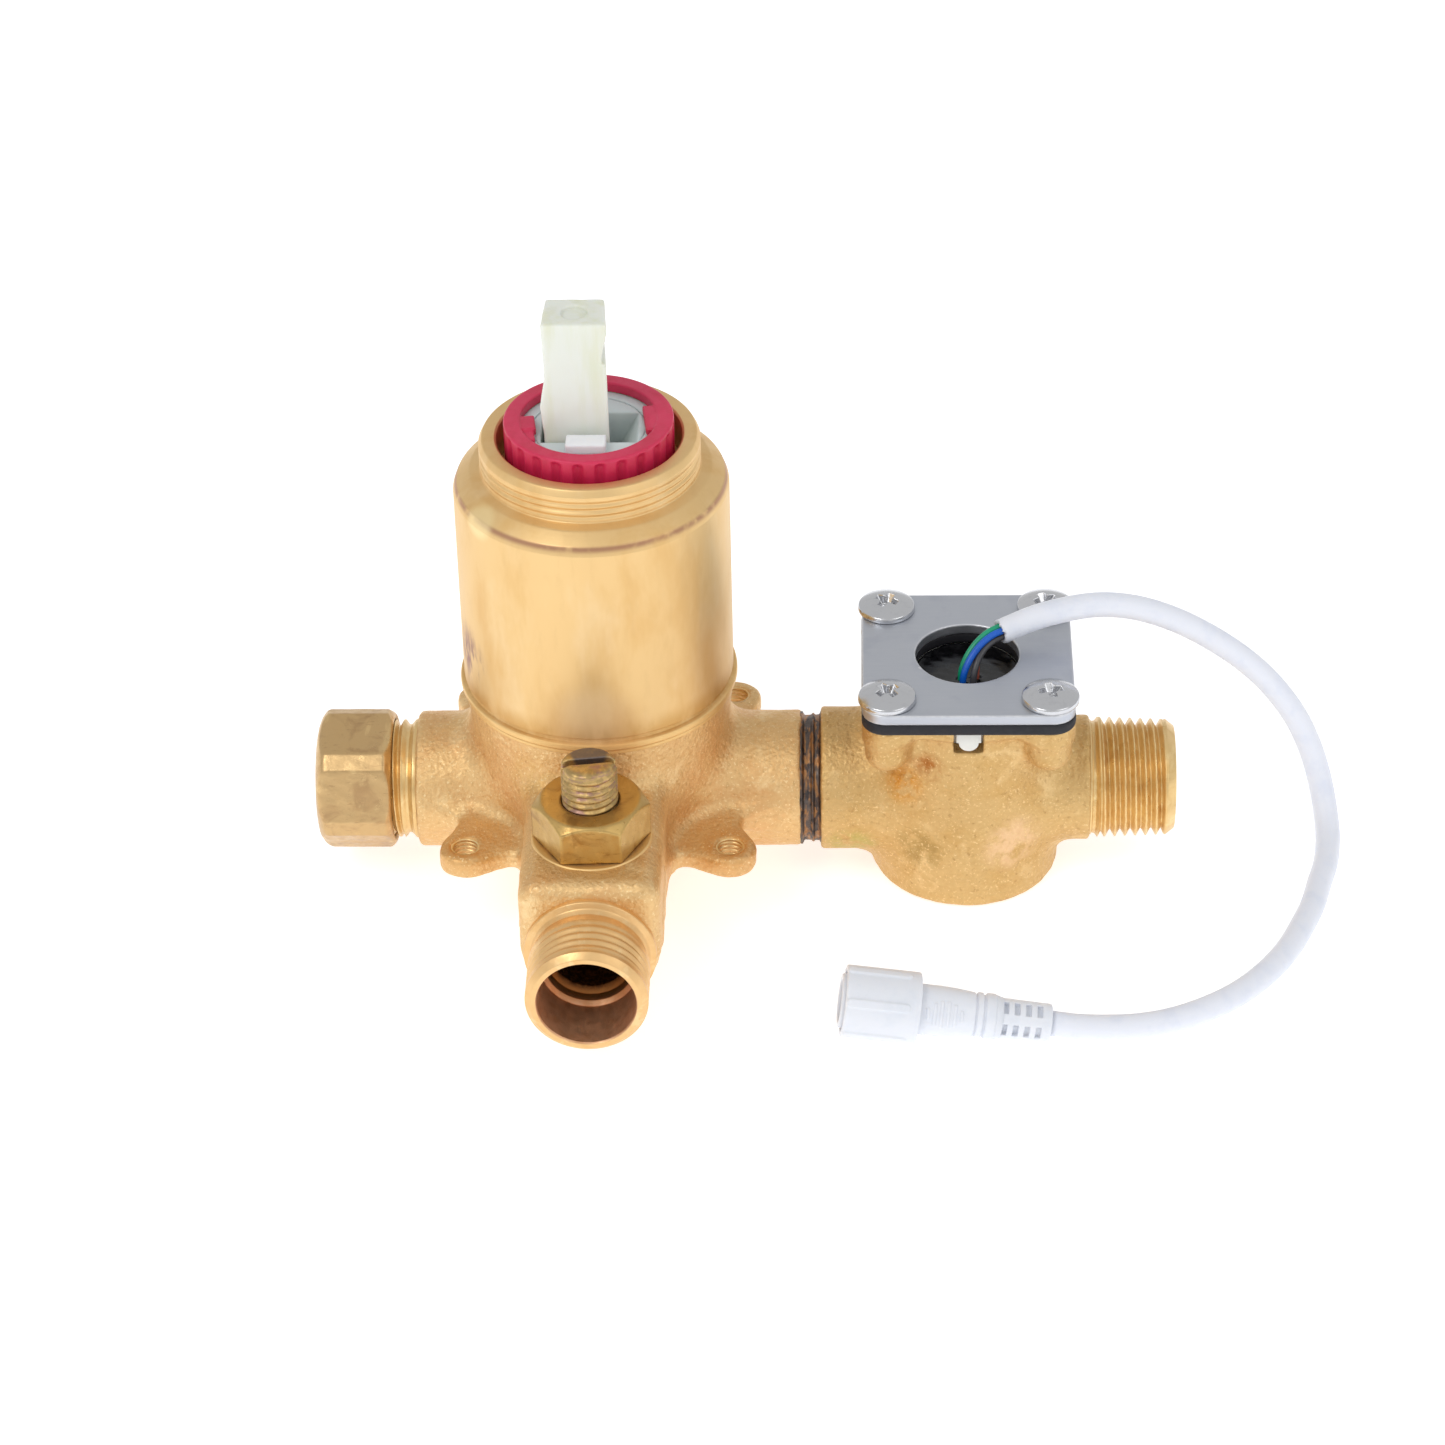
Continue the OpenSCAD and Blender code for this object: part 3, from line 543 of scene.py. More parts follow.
def make_turned_brass():
    f = Finish("turned_brass", tint(232, 196, 138), metallic=0.82, roughness=0.46)
    streak = f.noise(9, (1, 1, 0.35), detail=4, distortion=0.2)
    fine = f.noise(2.6, (1, 1, 0.3), detail=4)
    f.paint(f.level(streak, 0.48, 0.7, 0, 0.4), tint(218, 172, 104))
    f.paint(f.level(fine, 0.5, 0.7, 0, 0.16), tint(210, 172, 118))
    f.mottle(12, 0.52, 0.72, 0.5, tint(240, 212, 164), (1, 1, 0.4))
    foot = f.level(f.noise(6, (1, 1, 0.5)), 0.35, 0.6, 0.2, 0.75)
    foot = f.times(f.level(f.axis("Z"), 0.0292, 0.0252), foot)
    f.paint(foot, tint(204, 156, 88))
    # Painted highlight: a pale patch on the barrel front just above the front stop.
    f.paint(f.level(f.near((0, -23.5, 29)), 0.0085, 0.002, 0, 0.45), tint(246, 224, 184))
    # Painted highlight: the lip and everything below it at the barrel's foot are painted brighter.
    f.paint(f.level(f.axis("Z"), 0.0243, 0.0239, 0, 0.7), tint(244, 206, 142))
    edge = f.times(f.level(f.near((0, 0, 63.2)), 0.0226, 0.0232), f.level(f.axis("Z"), 0.0622, 0.0634))
    edge = f.times(edge, f.level(f.axis("Z"), 0.0645, 0.0636))
    f.paint(f.times(edge, f.level(f.noise(9), 0.34, 0.5)), tint(150, 98, 86))
    stain = f.times(f.level(f.near((-21.5, -9.5, 33)), 0.0075, 0.001), f.level(fine, 0.4, 0.6))
    f.paint(stain, tint(150, 105, 100))
    f.paint(f.level(f.near((-18.5, -14.5, 63.5)), 0.0042, 0.0022, 0, 0.6), tint(250, 226, 170))
    duller = f.level(f.near((0, -23.5, 25)), 0.013, 0.004, 1, 1.7)
    f.link(f.times(f.level(streak, 0.25, 0.75, 0.42, 0.52), duller), f.shader.inputs["Roughness"])
    f.bump(f.noise(0.35, (0.08, 0.08, 1), detail=3), 0.012)
    f.bump(f.noise(1.5, (1, 1, 0.2)), 0.01)
    return f.material


def make_cast_brass(name, base, warm, pale, dark, stains=()):
    f = Finish(name, base, metallic=0.86, roughness=0.48)
    f.mottle(11, 0.45, 0.65, 0.8, warm, detail=5)
    f.mottle(6, 0.55, 0.72, 0.6, pale, detail=5, distortion=0.4)
    f.mottle(1.1, 0.56, 0.7, 0.5, dark, detail=6)
    for point, reach, colour in stains:
        mask = f.level(f.near(point), reach * MM, reach * MM * 0.35)
        f.paint(f.times(mask, f.level(f.noise(2.5), 0.3, 0.6)), colour)
    f.mottle(0.45, 0.58, 0.7, 0.85, pale, detail=2)
    f.rough(f.noise(0.7, detail=3), 0.38, 0.6)
    f.bump(f.noise(0.6, detail=5), 0.16)
    f.bump(f.cells(0.9), 0.09)
    return f.material


def make_nut_brass(name, base, dark, pale, roughness=0.34, metallic=0.88):
    f = Finish(name, base, metallic=metallic, roughness=roughness)
    f.mottle(5, 0.48, 0.7, 0.7, dark, detail=6, distortion=0.8)
    f.mottle(3, 0.55, 0.7, 0.5, pale, (1, 0.25, 1), detail=5)
    f.mottle(0.5, 0.63, 0.7, 0.55, dark, (0.2, 1, 1), detail=3)
    f.worn_edges(pale)
    f.rough(f.noise(1.5, detail=5), roughness - 0.08, roughness + 0.12)
    f.bump(f.noise(0.4, (0.25, 1, 0.25), detail=4), 0.02)
    f.bump(f.noise(2.2, detail=4), 0.05)
    return f.material


def make_inlet_brass():
    f = Finish("inlet_brass", tint(232, 190, 132), metallic=0.82, roughness=0.42)
    f.mottle(6, 0.48, 0.7, 0.6, tint(224, 178, 116), detail=6, distortion=0.6)
    f.mottle(3, 0.55, 0.7, 0.5, tint(248, 216, 162), (1, 0.4, 1), detail=4)
    # Painted shade inside the inlet bore: a pinkish-brown tint and darker noise inside the mouth, darker
    # still further in along Y, and darkest in the narrow inner bore.
    inside = f.level(f.radial((1, 0, 1)), 0.00865, 0.00825)
    f.paint(inside, tint(232, 184, 146))
    f.paint(f.times(inside, f.level(f.noise(2.5, detail=5), 0.4, 0.7, 0, 0.6)), tint(206, 150, 104))
    depth = f.level(f.times(f.axis("Y"), 0, "ABSOLUTE"), 0.0552, 0.0525)
    f.paint(f.times(inside, depth), tint(156, 116, 70))
    deepest_bore_shade = f.level(f.radial((1, 0, 1)), 0.0071, 0.0063)
    f.paint(f.times(deepest_bore_shade, f.level(f.noise(0.8, detail=4), 0.3, 0.6, 0.6, 1)), tint(64, 46, 30))
    f.rough(f.noise(1.5, detail=5), 0.34, 0.5)
    f.bump(f.noise(0.4, (1, 0.3, 1), detail=4), 0.012)
    f.bump(f.noise(2.2, detail=4), 0.04)
    return f.material


def make_stem_brass():
    f = Finish("stem_brass", tint(176, 148, 98), metallic=0.85, roughness=0.45)
    f.mottle(1.3, 0.45, 0.6, 0.9, tint(206, 172, 112), detail=6)
    f.mottle(0.8, 0.5, 0.66, 0.9, tint(166, 128, 118), (0.3, 0.3, 1), detail=6)
    tarnish = f.level(f.near((0, -32.6, 29)), 0.0036, 0.0028)
    f.paint(f.times(tarnish, f.level(f.noise(1.5), 0.2, 0.5, 0.7, 1)), tint(124, 112, 106))
    f.rough(f.noise(0.8), 0.3, 0.55)
    f.bump(f.noise(0.5, detail=5), 0.06)
    return f.material


def make_braze():
    f = Finish("braze_joint", tint(100, 92, 88), metallic=0.9, roughness=0.5)
    f.mottle(1.6, 0.45, 0.6, 0.9, tint(176, 128, 84), (2.2, 0.5, 0.5), detail=5)
    f.mottle(2.4, 0.5, 0.62, 0.9, tint(70, 68, 70), (2, 1, 1), detail=4)
    f.rough(f.noise(1.0), 0.35, 0.65)
    f.bump(f.noise(0.8, detail=5), 0.12)
    return f.material


def make_plate_steel():
    f = Finish("brushed_steel", tint(190, 194, 202), metallic=0.9, roughness=0.42)
    grain = f.noise(0.5, (0.08, 1, 1), detail=5)
    f.paint(f.level(grain, 0.35, 0.7, 0, 0.3), tint(206, 208, 214))
    f.mottle(7, 0.5, 0.7, 0.4, tint(176, 180, 192), detail=4)
    f.worn_edges(tint(240, 240, 240), 0.51, 0.56)
    f.rough(grain, 0.36, 0.48)
    f.bump(grain, 0.006)
    return f.material


def make_screw_steel(name="screw_steel", base=tint(206, 207, 210), roughness=0.2):
    f = Finish(name, base, metallic=1.0, roughness=roughness)
    f.mottle(1.4, 0.5, 0.7, 0.2, tint(184, 184, 188), detail=5)
    f.rough(f.noise(1.6, detail=2), roughness - 0.03, roughness + 0.04)
    f.bump(f.noise(2.5, detail=1), 0.004)
    return f.material


def make_rubber(name, base, roughness, coat=0.0):
    f = Finish(name, base, roughness=roughness, Coat_Weight=coat, Coat_Roughness=0.05,
               Specular_IOR_Level=0.3)
    f.mottle(1.5, 0.5, 0.7, 0.3, tint(58, 58, 62), detail=6)
    f.rough(f.noise(2.2, detail=5), roughness - 0.1, roughness + 0.12)
    f.bump(f.noise(0.4, detail=4), 0.02)
    return f.material


def make_plastic(name, base, shade, roughness=0.4, glow=0.0, grain=0.02, streak=(1, 1, 1), **shader):
    """Moulded plastic with a faint flow pattern, some light passing through and a fine grain."""
    f = Finish(name, base, roughness=roughness, Subsurface_Weight=glow, **shader)
    f.shader.inputs["Subsurface Radius"].default_value = (1.0, 0.9, 0.8)
    f.shader.inputs["Subsurface Scale"].default_value = 2 * MM
    f.mottle(4, 0.45, 0.7, 0.7, shade, stretch=streak, detail=4)
    f.mottle(0.5, 0.68, 0.74, 0.25, shade, detail=3)
    f.rough(f.noise(1.6, detail=3), roughness - 0.07, roughness + 0.08)
    f.bump(f.noise(0.25, detail=3), grain)
    return f.material


turned_brass = make_turned_brass()
cast_brass = make_cast_brass(
    "cast_brass", tint(228, 190, 134), tint(226, 180, 124), tint(248, 220, 168), tint(196, 154, 98),
    [((-10, -20, 14), 8, tint(222, 180, 118)), ((23, -23, 2), 7, tint(220, 168, 104)),
     ((-23, -23, 2), 7, tint(220, 168, 104))])
sensor_brass = make_cast_brass(
    "sensor_brass", tint(214, 178, 120), tint(206, 166, 104), tint(238, 206, 150), tint(172, 130, 78),
    [((52.5, -14, 8), 5, tint(216, 156, 76)), ((56, -15, -5), 6, tint(184, 150, 92)),
     ((44, -11, -7), 6, tint(196, 176, 104)), ((57, -16, 13), 4, tint(176, 116, 60)),
     ((72, -14, -4), 7, tint(234, 196, 150))])
thread_brass = make_nut_brass(
    "thread_brass", tint(232, 198, 138), tint(216, 176, 112), tint(250, 224, 166), 0.34, 0.78)
inlet_brass = make_inlet_brass()
cap_brass = make_nut_brass(
    "cap_brass", tint(206, 172, 122), tint(176, 140, 100), tint(236, 204, 146))
bonnet_brass = make_nut_brass(
    "bonnet_brass", tint(196, 162, 100), tint(150, 112, 66), tint(226, 192, 124))
stem_brass = make_stem_brass()
braze_joint = make_braze()
brushed_steel = make_plate_steel()
screw_steel = make_screw_steel()
gasket_rubber = make_rubber("gasket_rubber", tint(44, 44, 48), 0.55)
potting_resin = make_rubber("potting_resin", tint(16, 16, 18), 0.16, coat=0.25)
red_plastic = make_plastic("red_plastic", tint(206, 44, 84), tint(190, 34, 68), 0.42, glow=0.15)
green_plastic = make_plastic("green_plastic", tint(90, 190, 90), tint(70, 170, 80))
lever_plastic = make_plastic(
    "lever_plastic", tint(226, 229, 220), tint(216, 219, 192), 0.4, glow=0.4, streak=(1, 1, 0.15))
cartridge_plastic = make_plastic(
    "cartridge_plastic", tint(206, 217, 218), tint(190, 205, 206), 0.36, glow=0.3)
tab_plastic = make_plastic("tab_plastic", tint(236, 237, 240), tint(228, 230, 235), 0.4, glow=0.3)
white_plastic = make_plastic("white_plastic", tint(232, 232, 226), tint(220, 222, 216), 0.42, glow=0.3)
connector_plastic = make_plastic(
    "connector_plastic", tint(228, 231, 238), tint(220, 225, 234), 0.36, glow=0.2)
cable_jacket = make_plastic(
    "cable_jacket", tint(230, 233, 242), tint(220, 225, 238), 0.4, glow=0.15, grain=0.03)
ceramic = make_plastic("ceramic", tint(240, 238, 232), tint(230, 228, 222), 0.2)
board_green = make_plastic("board_green", tint(30, 110, 70), tint(24, 90, 60), 0.35)
wire_colours = {
    "wire_blue": ((26, 96, 200), (18, 76, 176)),
    "wire_green": ((20, 158, 116), (14, 134, 98)),
    "wire_brown": ((176, 92, 76), (150, 74, 62)),
    "wire_black": ((70, 70, 74), (50, 50, 54)),
}


# ---- Cable, wires and connector, which come first ----

connector_pos = np.array([42.6, -52.7, -8.5])
connector_tilt = math.radians(8)
connector_axis = np.array([math.cos(connector_tilt), 0, -math.sin(connector_tilt)])
connector_len = 35.4
connector_end = connector_pos + connector_len * connector_axis
cable_d = 4.4
cable_route = [
    [70, 1.5, 30], [77, 3.5, 32], [85.5, 5.8, 32.6], [92.5, 7.5, 31.2], [99, 9, 28.2],
    [105, 10, 24.4], [111, 10.6, 19.8], [116, 11, 15], [120, 11.2, 10], [123.3, 11, 4.8],
    [125.8, 10.2, -0.6], [127.6, 8.6, -6], [128.7, 5.6, -10.8], [129, 0.8, -13.8],
    [128.2, -5.6, -14.6], [126.5, -12, -14.6], [124.8, -18.4, -14.6], [122.4, -24.6, -14.6],
    [119.8, -30.4, -14.6], [116.4, -36, -14.6], [111.6, -41.8, -14.6], [106, -46.4, -14.6],
    [99, -50.2, -14.6], [92, -52.2, -14.5],
    [connector_end[0] + 6, connector_end[1], connector_end[2] - 0.84], connector_end,
]


def make_cable():
    """The jacket, with its cut end open for a few millimetres and slightly ragged."""
    path = smooth_path(cable_route, 1.2 * COARSE)
    total = np.linalg.norm(np.diff(path, axis=0), axis=1).sum()
    outer, inner, depth = cable_d / 2, cable_d / 2 - 0.75, 3.0
    rows = [(depth, 0), (depth, inner), (0.3, inner), (0.0, inner + 0.12), (0.0, outer - 0.15),
            (0.12, outer)]
    rows += [(s, outer) for s in np.arange(0.8, total - 0.5, 1.0 * COARSE)]
    rows += [(total, outer), (total, 0)]
    sides = 40
    points, faces = tube(path, rows, sides)
    axis = (path[1] - path[0]) / np.linalg.norm(path[1] - path[0])
    rng = np.random.default_rng(4)
    ragged = rng.normal(size=sides)
    slant = np.sin(np.arange(sides) * TURN / sides + 1.0)
    for row in (3, 4, 5):
        shift = 0.16 * ragged + 0.35 * slant
        points[row * sides:(row + 1) * sides] += shift[:, None] * axis
    made = piece("cable", (points, faces), cable_jacket, "valve", "cable_jacket", ["cable"])
    return made, path, total


def bezier(a, b, c, d, steps):
    """Points on a cubic curve."""
    t = np.linspace(0, 1, steps)[:, None]
    return (1 - t) ** 3 * a + 3 * (1 - t) ** 2 * t * b + 3 * (1 - t) * t ** 2 * c + t ** 3 * d


def make_wires(path):
    """Four conductors from the potting into the cut sheath, as in the CAD."""
    axis = np.array(cable_route[1], float) - np.array(cable_route[0], float)
    axis /= np.linalg.norm(axis)
    side = np.cross(axis, [0, 0, 1])
    side /= np.linalg.norm(side)
    up = np.cross(side, axis)
    foot_z = potting_high[2]
    layout = {
        "wire_blue": ((63.4, -3.8), 0.64, 0.57), "wire_green": ((63.1, -2.3), -0.49, 0.71),
        "wire_brown": ((65.7, -1.9), -0.69, -0.52), "wire_black": ((65.2, -4.2), 0.55, -0.66),
    }
    radius = 0.6
    made = []
    for name, (foot, across, lift) in layout.items():
        start = np.array([*foot, foot_z - 0.2])
        finish = np.array(cable_route[0], float) + across * side + lift * up
        curve = bezier(
            start + [0, 0, 0.6], start + [0, 0, 4], finish - 4.2 * axis, finish - 0.6 * axis, 18)
        line = smooth_path(np.concatenate([[start], curve, [finish, finish + 2 * axis]]), 0.35)
        total = np.linalg.norm(np.diff(line, axis=0), axis=1).sum()
        rows = [(0, 0)] + [(s, radius) for s in np.arange(0, total, 0.35)]
        rows += [(total, radius), (total, 0)]
        base, shade = wire_colours[name]
        finish_look = make_plastic(name, tint(*base), tint(*shade), 0.3, streak=(0.3, 0.3, 0.3))
        slot = "wire_grey" if name == "wire_black" else name
        made.append(piece(name, tube(line, rows, 16), finish_look, "valve", slot, [name]))
    return made


def connector_place(shape):
    """From the connector's own frame, +X from the plug face to the cable, to the part's frame."""
    points, faces = shape
    across = np.array([0, 1, 0])
    above = np.cross(connector_axis, across)
    return connector_pos + points @ np.array([connector_axis, across, above]), faces


def nut_field(x, y, z):
    """Coupling nut with six long finger ribs."""
    nut_high = 12.8
    radial = length(y, z)
    shell = round_rod(radial, x, 6.2, 0, nut_high, 0.5)
    for k in range(6):
        out, across = spun(y, z, 24 + 60 * k)
        rib = common(length(np.maximum(slab(x, 0.9, 10.2), 0), across) - 0.75, slab(out, 3, 6.52), 0.25)
        shell = join(shell, rib, 0.3)
    return cut(cut(shell, round_rod(radial, x, 5.2, -2, 11.4), 0.3), round_rod(radial, x, 4.5, -2, 20))


def connector_field(x, y, z):
    """Plug, tapered grip with a ridged pad, and two collars."""
    radial = length(y, z)
    plug = common(cut(round_rod(radial, x, 4.65, -0.6, 12, 0.4), round_rod(radial, x, 3.7, -2, 7), 0.2),
                  x - 12)
    neck = round_rod(radial, x, 4.35, 11, 14)
    taper = graded(x, [12.8, 16, 19, 22.4], [4.3, 4.35, 4.2, 3.85])
    grip = common(radial - taper, slab(x, 13, 22.3), 0.3)
    body = join(join(plug, neck), grip)
    for k in range(6):
        ridge = slab(x, 13.9 + 1.15 * k, 14.4 + 1.15 * k)
        width = (1.0, 1.9, 2.3, 2.3, 1.9, 1.0)[k]
        ridge = common(ridge, np.abs(0.5 * y + 0.87 * z) - width, 0.2)
        ridge = common(ridge, radial - taper - 0.22, 0.1)
        body = join(body, ridge, 0.1)
    body = join(body, round_rod(radial, x, 3.55, 22, 27))
    body = join(body, round_rod(radial, x, 3.95, 22.6, 23.6, 0.2))
    body = join(body, round_rod(radial, x, 3.95, 24.0, 25.9, 0.5))
    return body


def relief_field(x, y, z):
    """Strain relief: a sleeve with five rows of slots and a plain end collar."""
    radial = length(y, z)
    radius = graded(x, [25.6, 27, 35.4], [3.9, 3.45, 3.3])
    shell = common(radial - radius, slab(x, 25.7, 35.4), 0.35)
    for k in range(4):
        band = slab(x, 26.9 + 1.95 * k, 27.85 + 1.95 * k)
        for turn in (36, 108, 180, 252, 324):
            out, across = spun(y, z, turn)
            window = common(band, np.abs(across) - 1.15)
            window = common(window, np.maximum(2.5 - out, 0) + 2.5 - radial)
            shell = cut(shell, common(window, -out), 0.12)
    return cut(shell, radial - cable_d / 2 + 0.05)


def make_connector():
    made = []
    for name, field, low_x, high_x, reach, body in (
            ("connector_nut", nut_field, 0, 12.8, 6.6, "coupling"),
            ("connector_body", connector_field, -1, 27, 5, "valve"),
            ("strain_relief", relief_field, 25, 35.6, 4, "valve")):
        shape = surface_net(field, (low_x, -reach, -reach), (high_x, reach, reach), 0.16 * COARSE)
        made.append(piece(name, connector_place(shape), connector_plastic, body, "connector_plastic", [name]))
    return made


cable, cable_path, cable_length = make_cable()
wires = make_wires(cable_path)
connector = make_connector()
for node in ("connector_pins", "connector_seal"):
    connector.append(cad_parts[node])


# ---- Valve body ----

pipe_r = 12.0
branch_face = 50.3
bowl_r = 22.0
ear_reach = 46 / math.sqrt(2)


def ear_outline(x, y):
    """The ears seen from above: tongues that flare into the bowl, the pipes and the branches."""
    u, v = np.abs(x), np.abs(y)
    along = (u + v) / math.sqrt(2)
    across = (u - v) / math.sqrt(2)
    tongue = length(np.maximum(slab(along, 0, ear_reach), 0), across) - 4.5
    web = join(length(x, y) - bowl_r, np.maximum(v - pipe_r + 1, u - 30), 9)
    web = join(web, np.maximum(u - pipe_r + 1, v - 44), 9)
    return join(web, tongue, 11)


def branch_field(x, y, z):
    """Front and back branches: round below, flat on top, with softened edges."""
    round_part = length(x, z) - pipe_r
    edge = 3.6
    q_x, q_z = np.abs(x) - pipe_r + edge, z - hex_bottom + 0.2 + edge
    square = corner(q_x, q_z) - edge
    section = np.where(z < 0, round_part, square)
    return common(section, np.abs(y) - branch_face, 3.2)


def casting_field(x, y, z):
    radial = length(x, y)
    swell = graded(z, [0, 14, 22], [0, 0.6, 1.4])
    q_r, q_z = radial - bowl_r + 12, -z
    bowl = corner(q_r, q_z) - 12 - swell
    bowl = common(bowl, z - 23.1)
    foot = round_rod(radial, z, 14, floor_z, 0, 1.5)
    body = join(bowl, foot, 1.5)
    pipes = round_rod(length(y, z), x, pipe_r, -32.6, braze_low[0], 0.9)
    body = join(body, pipes, 5)
    body = join(body, branch_field(x, y, z), 5)
    ears = common(ear_outline(x, y), np.abs(z) - 2, 1.2)
    body = join(body, ears, 2.6)
    body = body + 0.09 * lumps(x, y, z, 5, 3) + 0.05 * lumps(x, y, z, 2.2, 8)
    u, v = np.abs(x) - 23, np.abs(y) - 23
    body = cut(body, length(u, v) - 2.35, 0.5)
    hollow = round_rod(length(x, z), np.abs(y), 9.6, 41.9, 60)
    body = cut(body, hollow)
    body = cut(body, round_rod(radial, z, 15.5, 29.9, 40))
    stop_hole = round_rod(length(x, np.abs(y) - stop_y), z, 8.1, 1, 20)
    return cut(body, stop_hole)


def make_body():
    moulded("body_casting", casting_field, (-33, -50.5, -17), (35.5, 50.5, 23.4), 0.5, cast_brass, "valve",
            "cast_brass", ["valve_body"])
    rows = outline(
        (0, 21.6), (23.0, 21.6, 0.3), (23.75, 21.9, 0.3), (23.75, 22.5, 0.3), (23.4, 22.75, 0.1),
        (24.15, 22.95, 0.3), (24.15, 24.0, 0.4), (23.3, 24.25, 0.2), (23.15, 24.85, 0.2),
        (23.5, 25.1, 0.1),
        (23.5, 61.9, 0.9), (22.9, 63.5, 1.0), (20.6, 65.2, 1.6), (18.8, 65.7, 0.3), (18.8, 65.9, 0, 1),
        (18.8, 70.5, 0.2), (18.2, rim_z, 0.4), (16.1, rim_z, 0.2), (15.75, rim_z - 0.35, 0.1),
        (15.75, nut_low[2] - 0.05), (15.35, nut_low[2] - 0.05), (15.35, 30), (0, 30))
    piece("barrel", turned(rows, 192, pitch=1.3, depth=0.34, fade=1.6), turned_brass, "valve",
          "turned_brass", ["valve_body"], sharp=35)
    end, face = inlet_end, branch_face
    mouth = outline(
        (0, 41.95), (9.8, 41.95), (9.8, face - 0.6), (11.0, face - 0.6), (11.25, face - 0.3, 0.1),
        (11.25, face + 0.9, 0.35), (10.2, face + 1.25, 0.5), (9.75, face + 2.2, 0.4),
        (10.1, face + 3.6, 0.4),
        (10.35, face + 4.4, 0, 1), (10.35, end - 1.0, 0.15), (9.35, end, 0.3), (8.5, end, 0.15),
        (8.3, end - 0.35, 0.1), (8.3, 54.6, 0.4), (7.5, 53.9, 0.3), (7.3, 52.4, 0.4), (6.3, 51.4, 0.4),
        (6.0, 43, 0.4), (0, 43))
    for name, way in (("front", -1), ("back", 1)):
        shape = aimed(turned(mouth, 160, pitch=1.81, depth=0.36, fade=2.4), (0, way, 0))
        piece(name + "_inlet_mouth", shape, inlet_brass, "valve", "turned_brass", ["valve_body"],
              sharp=50)
        seat = outline(
            (8.0, hex_bottom - 1.2), (10.35, hex_bottom - 1.2, 0.1), (10.35, hex_bottom - 0.2, 0.2),
            (10.1, hex_bottom - 0.02, 0.1), (8.0, hex_bottom - 0.02))
        shape = aimed(turned(seat, 96), (0, 0, 1), (0, way * stop_y, 0))
        piece(name + "_stop_seat", shape, turned_brass, "valve", "turned_brass", ["valve_body"])
    stub = outline(
        (0, 31), (10.6, 31), (10.6, 33.2, 0.4), (9.7, 34.0, 0.3), (9.6, 34.6), (10.45, 35.2, 0, 1),
        (10.45, 47.2), (0, 47.2))
    piece("cap_thread", aimed(turned(stub, 160, pitch=1.6, depth=1.0, fade=0.5), (-1, 0, 0)),
          thread_brass, "valve", "turned_brass", ["valve_body"])
    sleeves = []
    for sx in (-1, 1):
        for sy in (-1, 1):
            sleeve = outline((2.15, -1.8, 0, 1), (2.15, 1.8), (2.75, 1.8), (2.75, -1.8))
            sleeves.append(aimed(turned(sleeve, 48, pitch=0.8, depth=-0.4, fade=0.3), (0, 0, 1),
                                 (23 * sx, 23 * sy, 0)))
    piece("ear_threads", together(*sleeves), thread_brass, "valve", "cast_brass", ["valve_body"])


make_body()


# ---- Outlet cap and braze ----

def cap_field(x, y, z):
    turn = math.radians(11.5)
    radial = length(y, z)
    flats = common(hexagon(y, z, 23, turn), hexagon(y, z, 24.8, turn + TURN / 12), 0.1)
    dome = 12.7 - 0.5 * np.maximum(cap_low[0] + 2.6 - x, 0) ** 1.4
    bevel = 12.7 - np.maximum(x - (cap_high[0] - 1.3), 0) * 1.0
    body = common(flats, radial - np.minimum(dome, bevel), 0.25)
    body = common(common(body, x - cap_high[0], 0.5), cap_low[0] + 0.3 - x, 2.4)
    body = body + 0.03 * lumps(x, y, z, 3, 21)
    return cut(body, round_rod(radial, x, 10.6, cap_low[0] + 2.6, cap_high[0] + 5), 0.3)


moulded("outlet_cap", cap_field, cap_low, cap_high, 0.3, cap_brass, "valve", "nut_brass", ["outlet_cap"])
start, end = braze_low[0], braze_high[0]
joint = outline(
    (8, start - 0.4), (11.7, start - 0.4, 0.3), (11.8, start + 0.1, 0.2), (11.05, start + 0.5, 0.3),
    (11.1, start + 1.6, 0.3), (11.5, start + 2.0, 0.2), (11.1, start + 2.4, 0.2),
    (11.2, end - 0.3, 0.3), (12.2, end + 0.1, 0.2), (12.1, end + 0.5), (8, end + 0.5))
piece("braze_ring", aimed(turned(joint, 128, wobble=0.12, seed=5), (1, 0, 0)), braze_joint, "valve",
      "braze", ["braze_ring"])


# ---- Flow sensor ----

screw_half = 14.0
cup_top = gasket_low[2]


def sensor_field(x, y, z):
    u = x - sensor_x
    radial = length(u, y)
    cup = round_rod(radial, z, 16.4, floor_z, cup_top, 1.6)
    cup = np.where(z > 0, radial - 16.4, cup)
    pipe = round_rod(length(y, z), x, 12.6, braze_high[0], sensor_x, 0.7)
    stub = round_rod(length(y, z), x, 11.0, sensor_x, 85.9, 0.6)
    body = join(cup, pipe, 5)
    body = join(body, stub, 4)
    flange = length(np.maximum(np.abs(u) - 14, 0), np.maximum(np.abs(y) - 14, 0)) - 3
    flange = common(flange, 20.2 - z, 0.8)
    body = join(body, flange, 3)
    bosses = length(np.abs(u) - screw_half, np.abs(y) - screw_half) - 3.9
    low_end = length(np.abs(u) - screw_half, np.abs(y) - screw_half, np.minimum(z - 16.2, 0)) - 3.9
    body = join(body, np.where(z < 16.2, low_end, bosses), 3.6)
    body = common(body, z - cup_top, 0.3)
    body = body + 0.08 * lumps(x, y, z, 5, 13) + 0.04 * lumps(x, y, z, 2, 18)
    notch = block(u, y, z, (-2.55, -25, cup_top - 5.6), (2.55, -12, cup_top + 5), 0.2)
    body = cut(body, notch, 0.2)
    body = cut(body, round_rod(radial, z, 13.25, floor_z + 3, cup_top + 2))
    return cut(body, round_rod(length(y, z), x, 7.6, 30, 95))


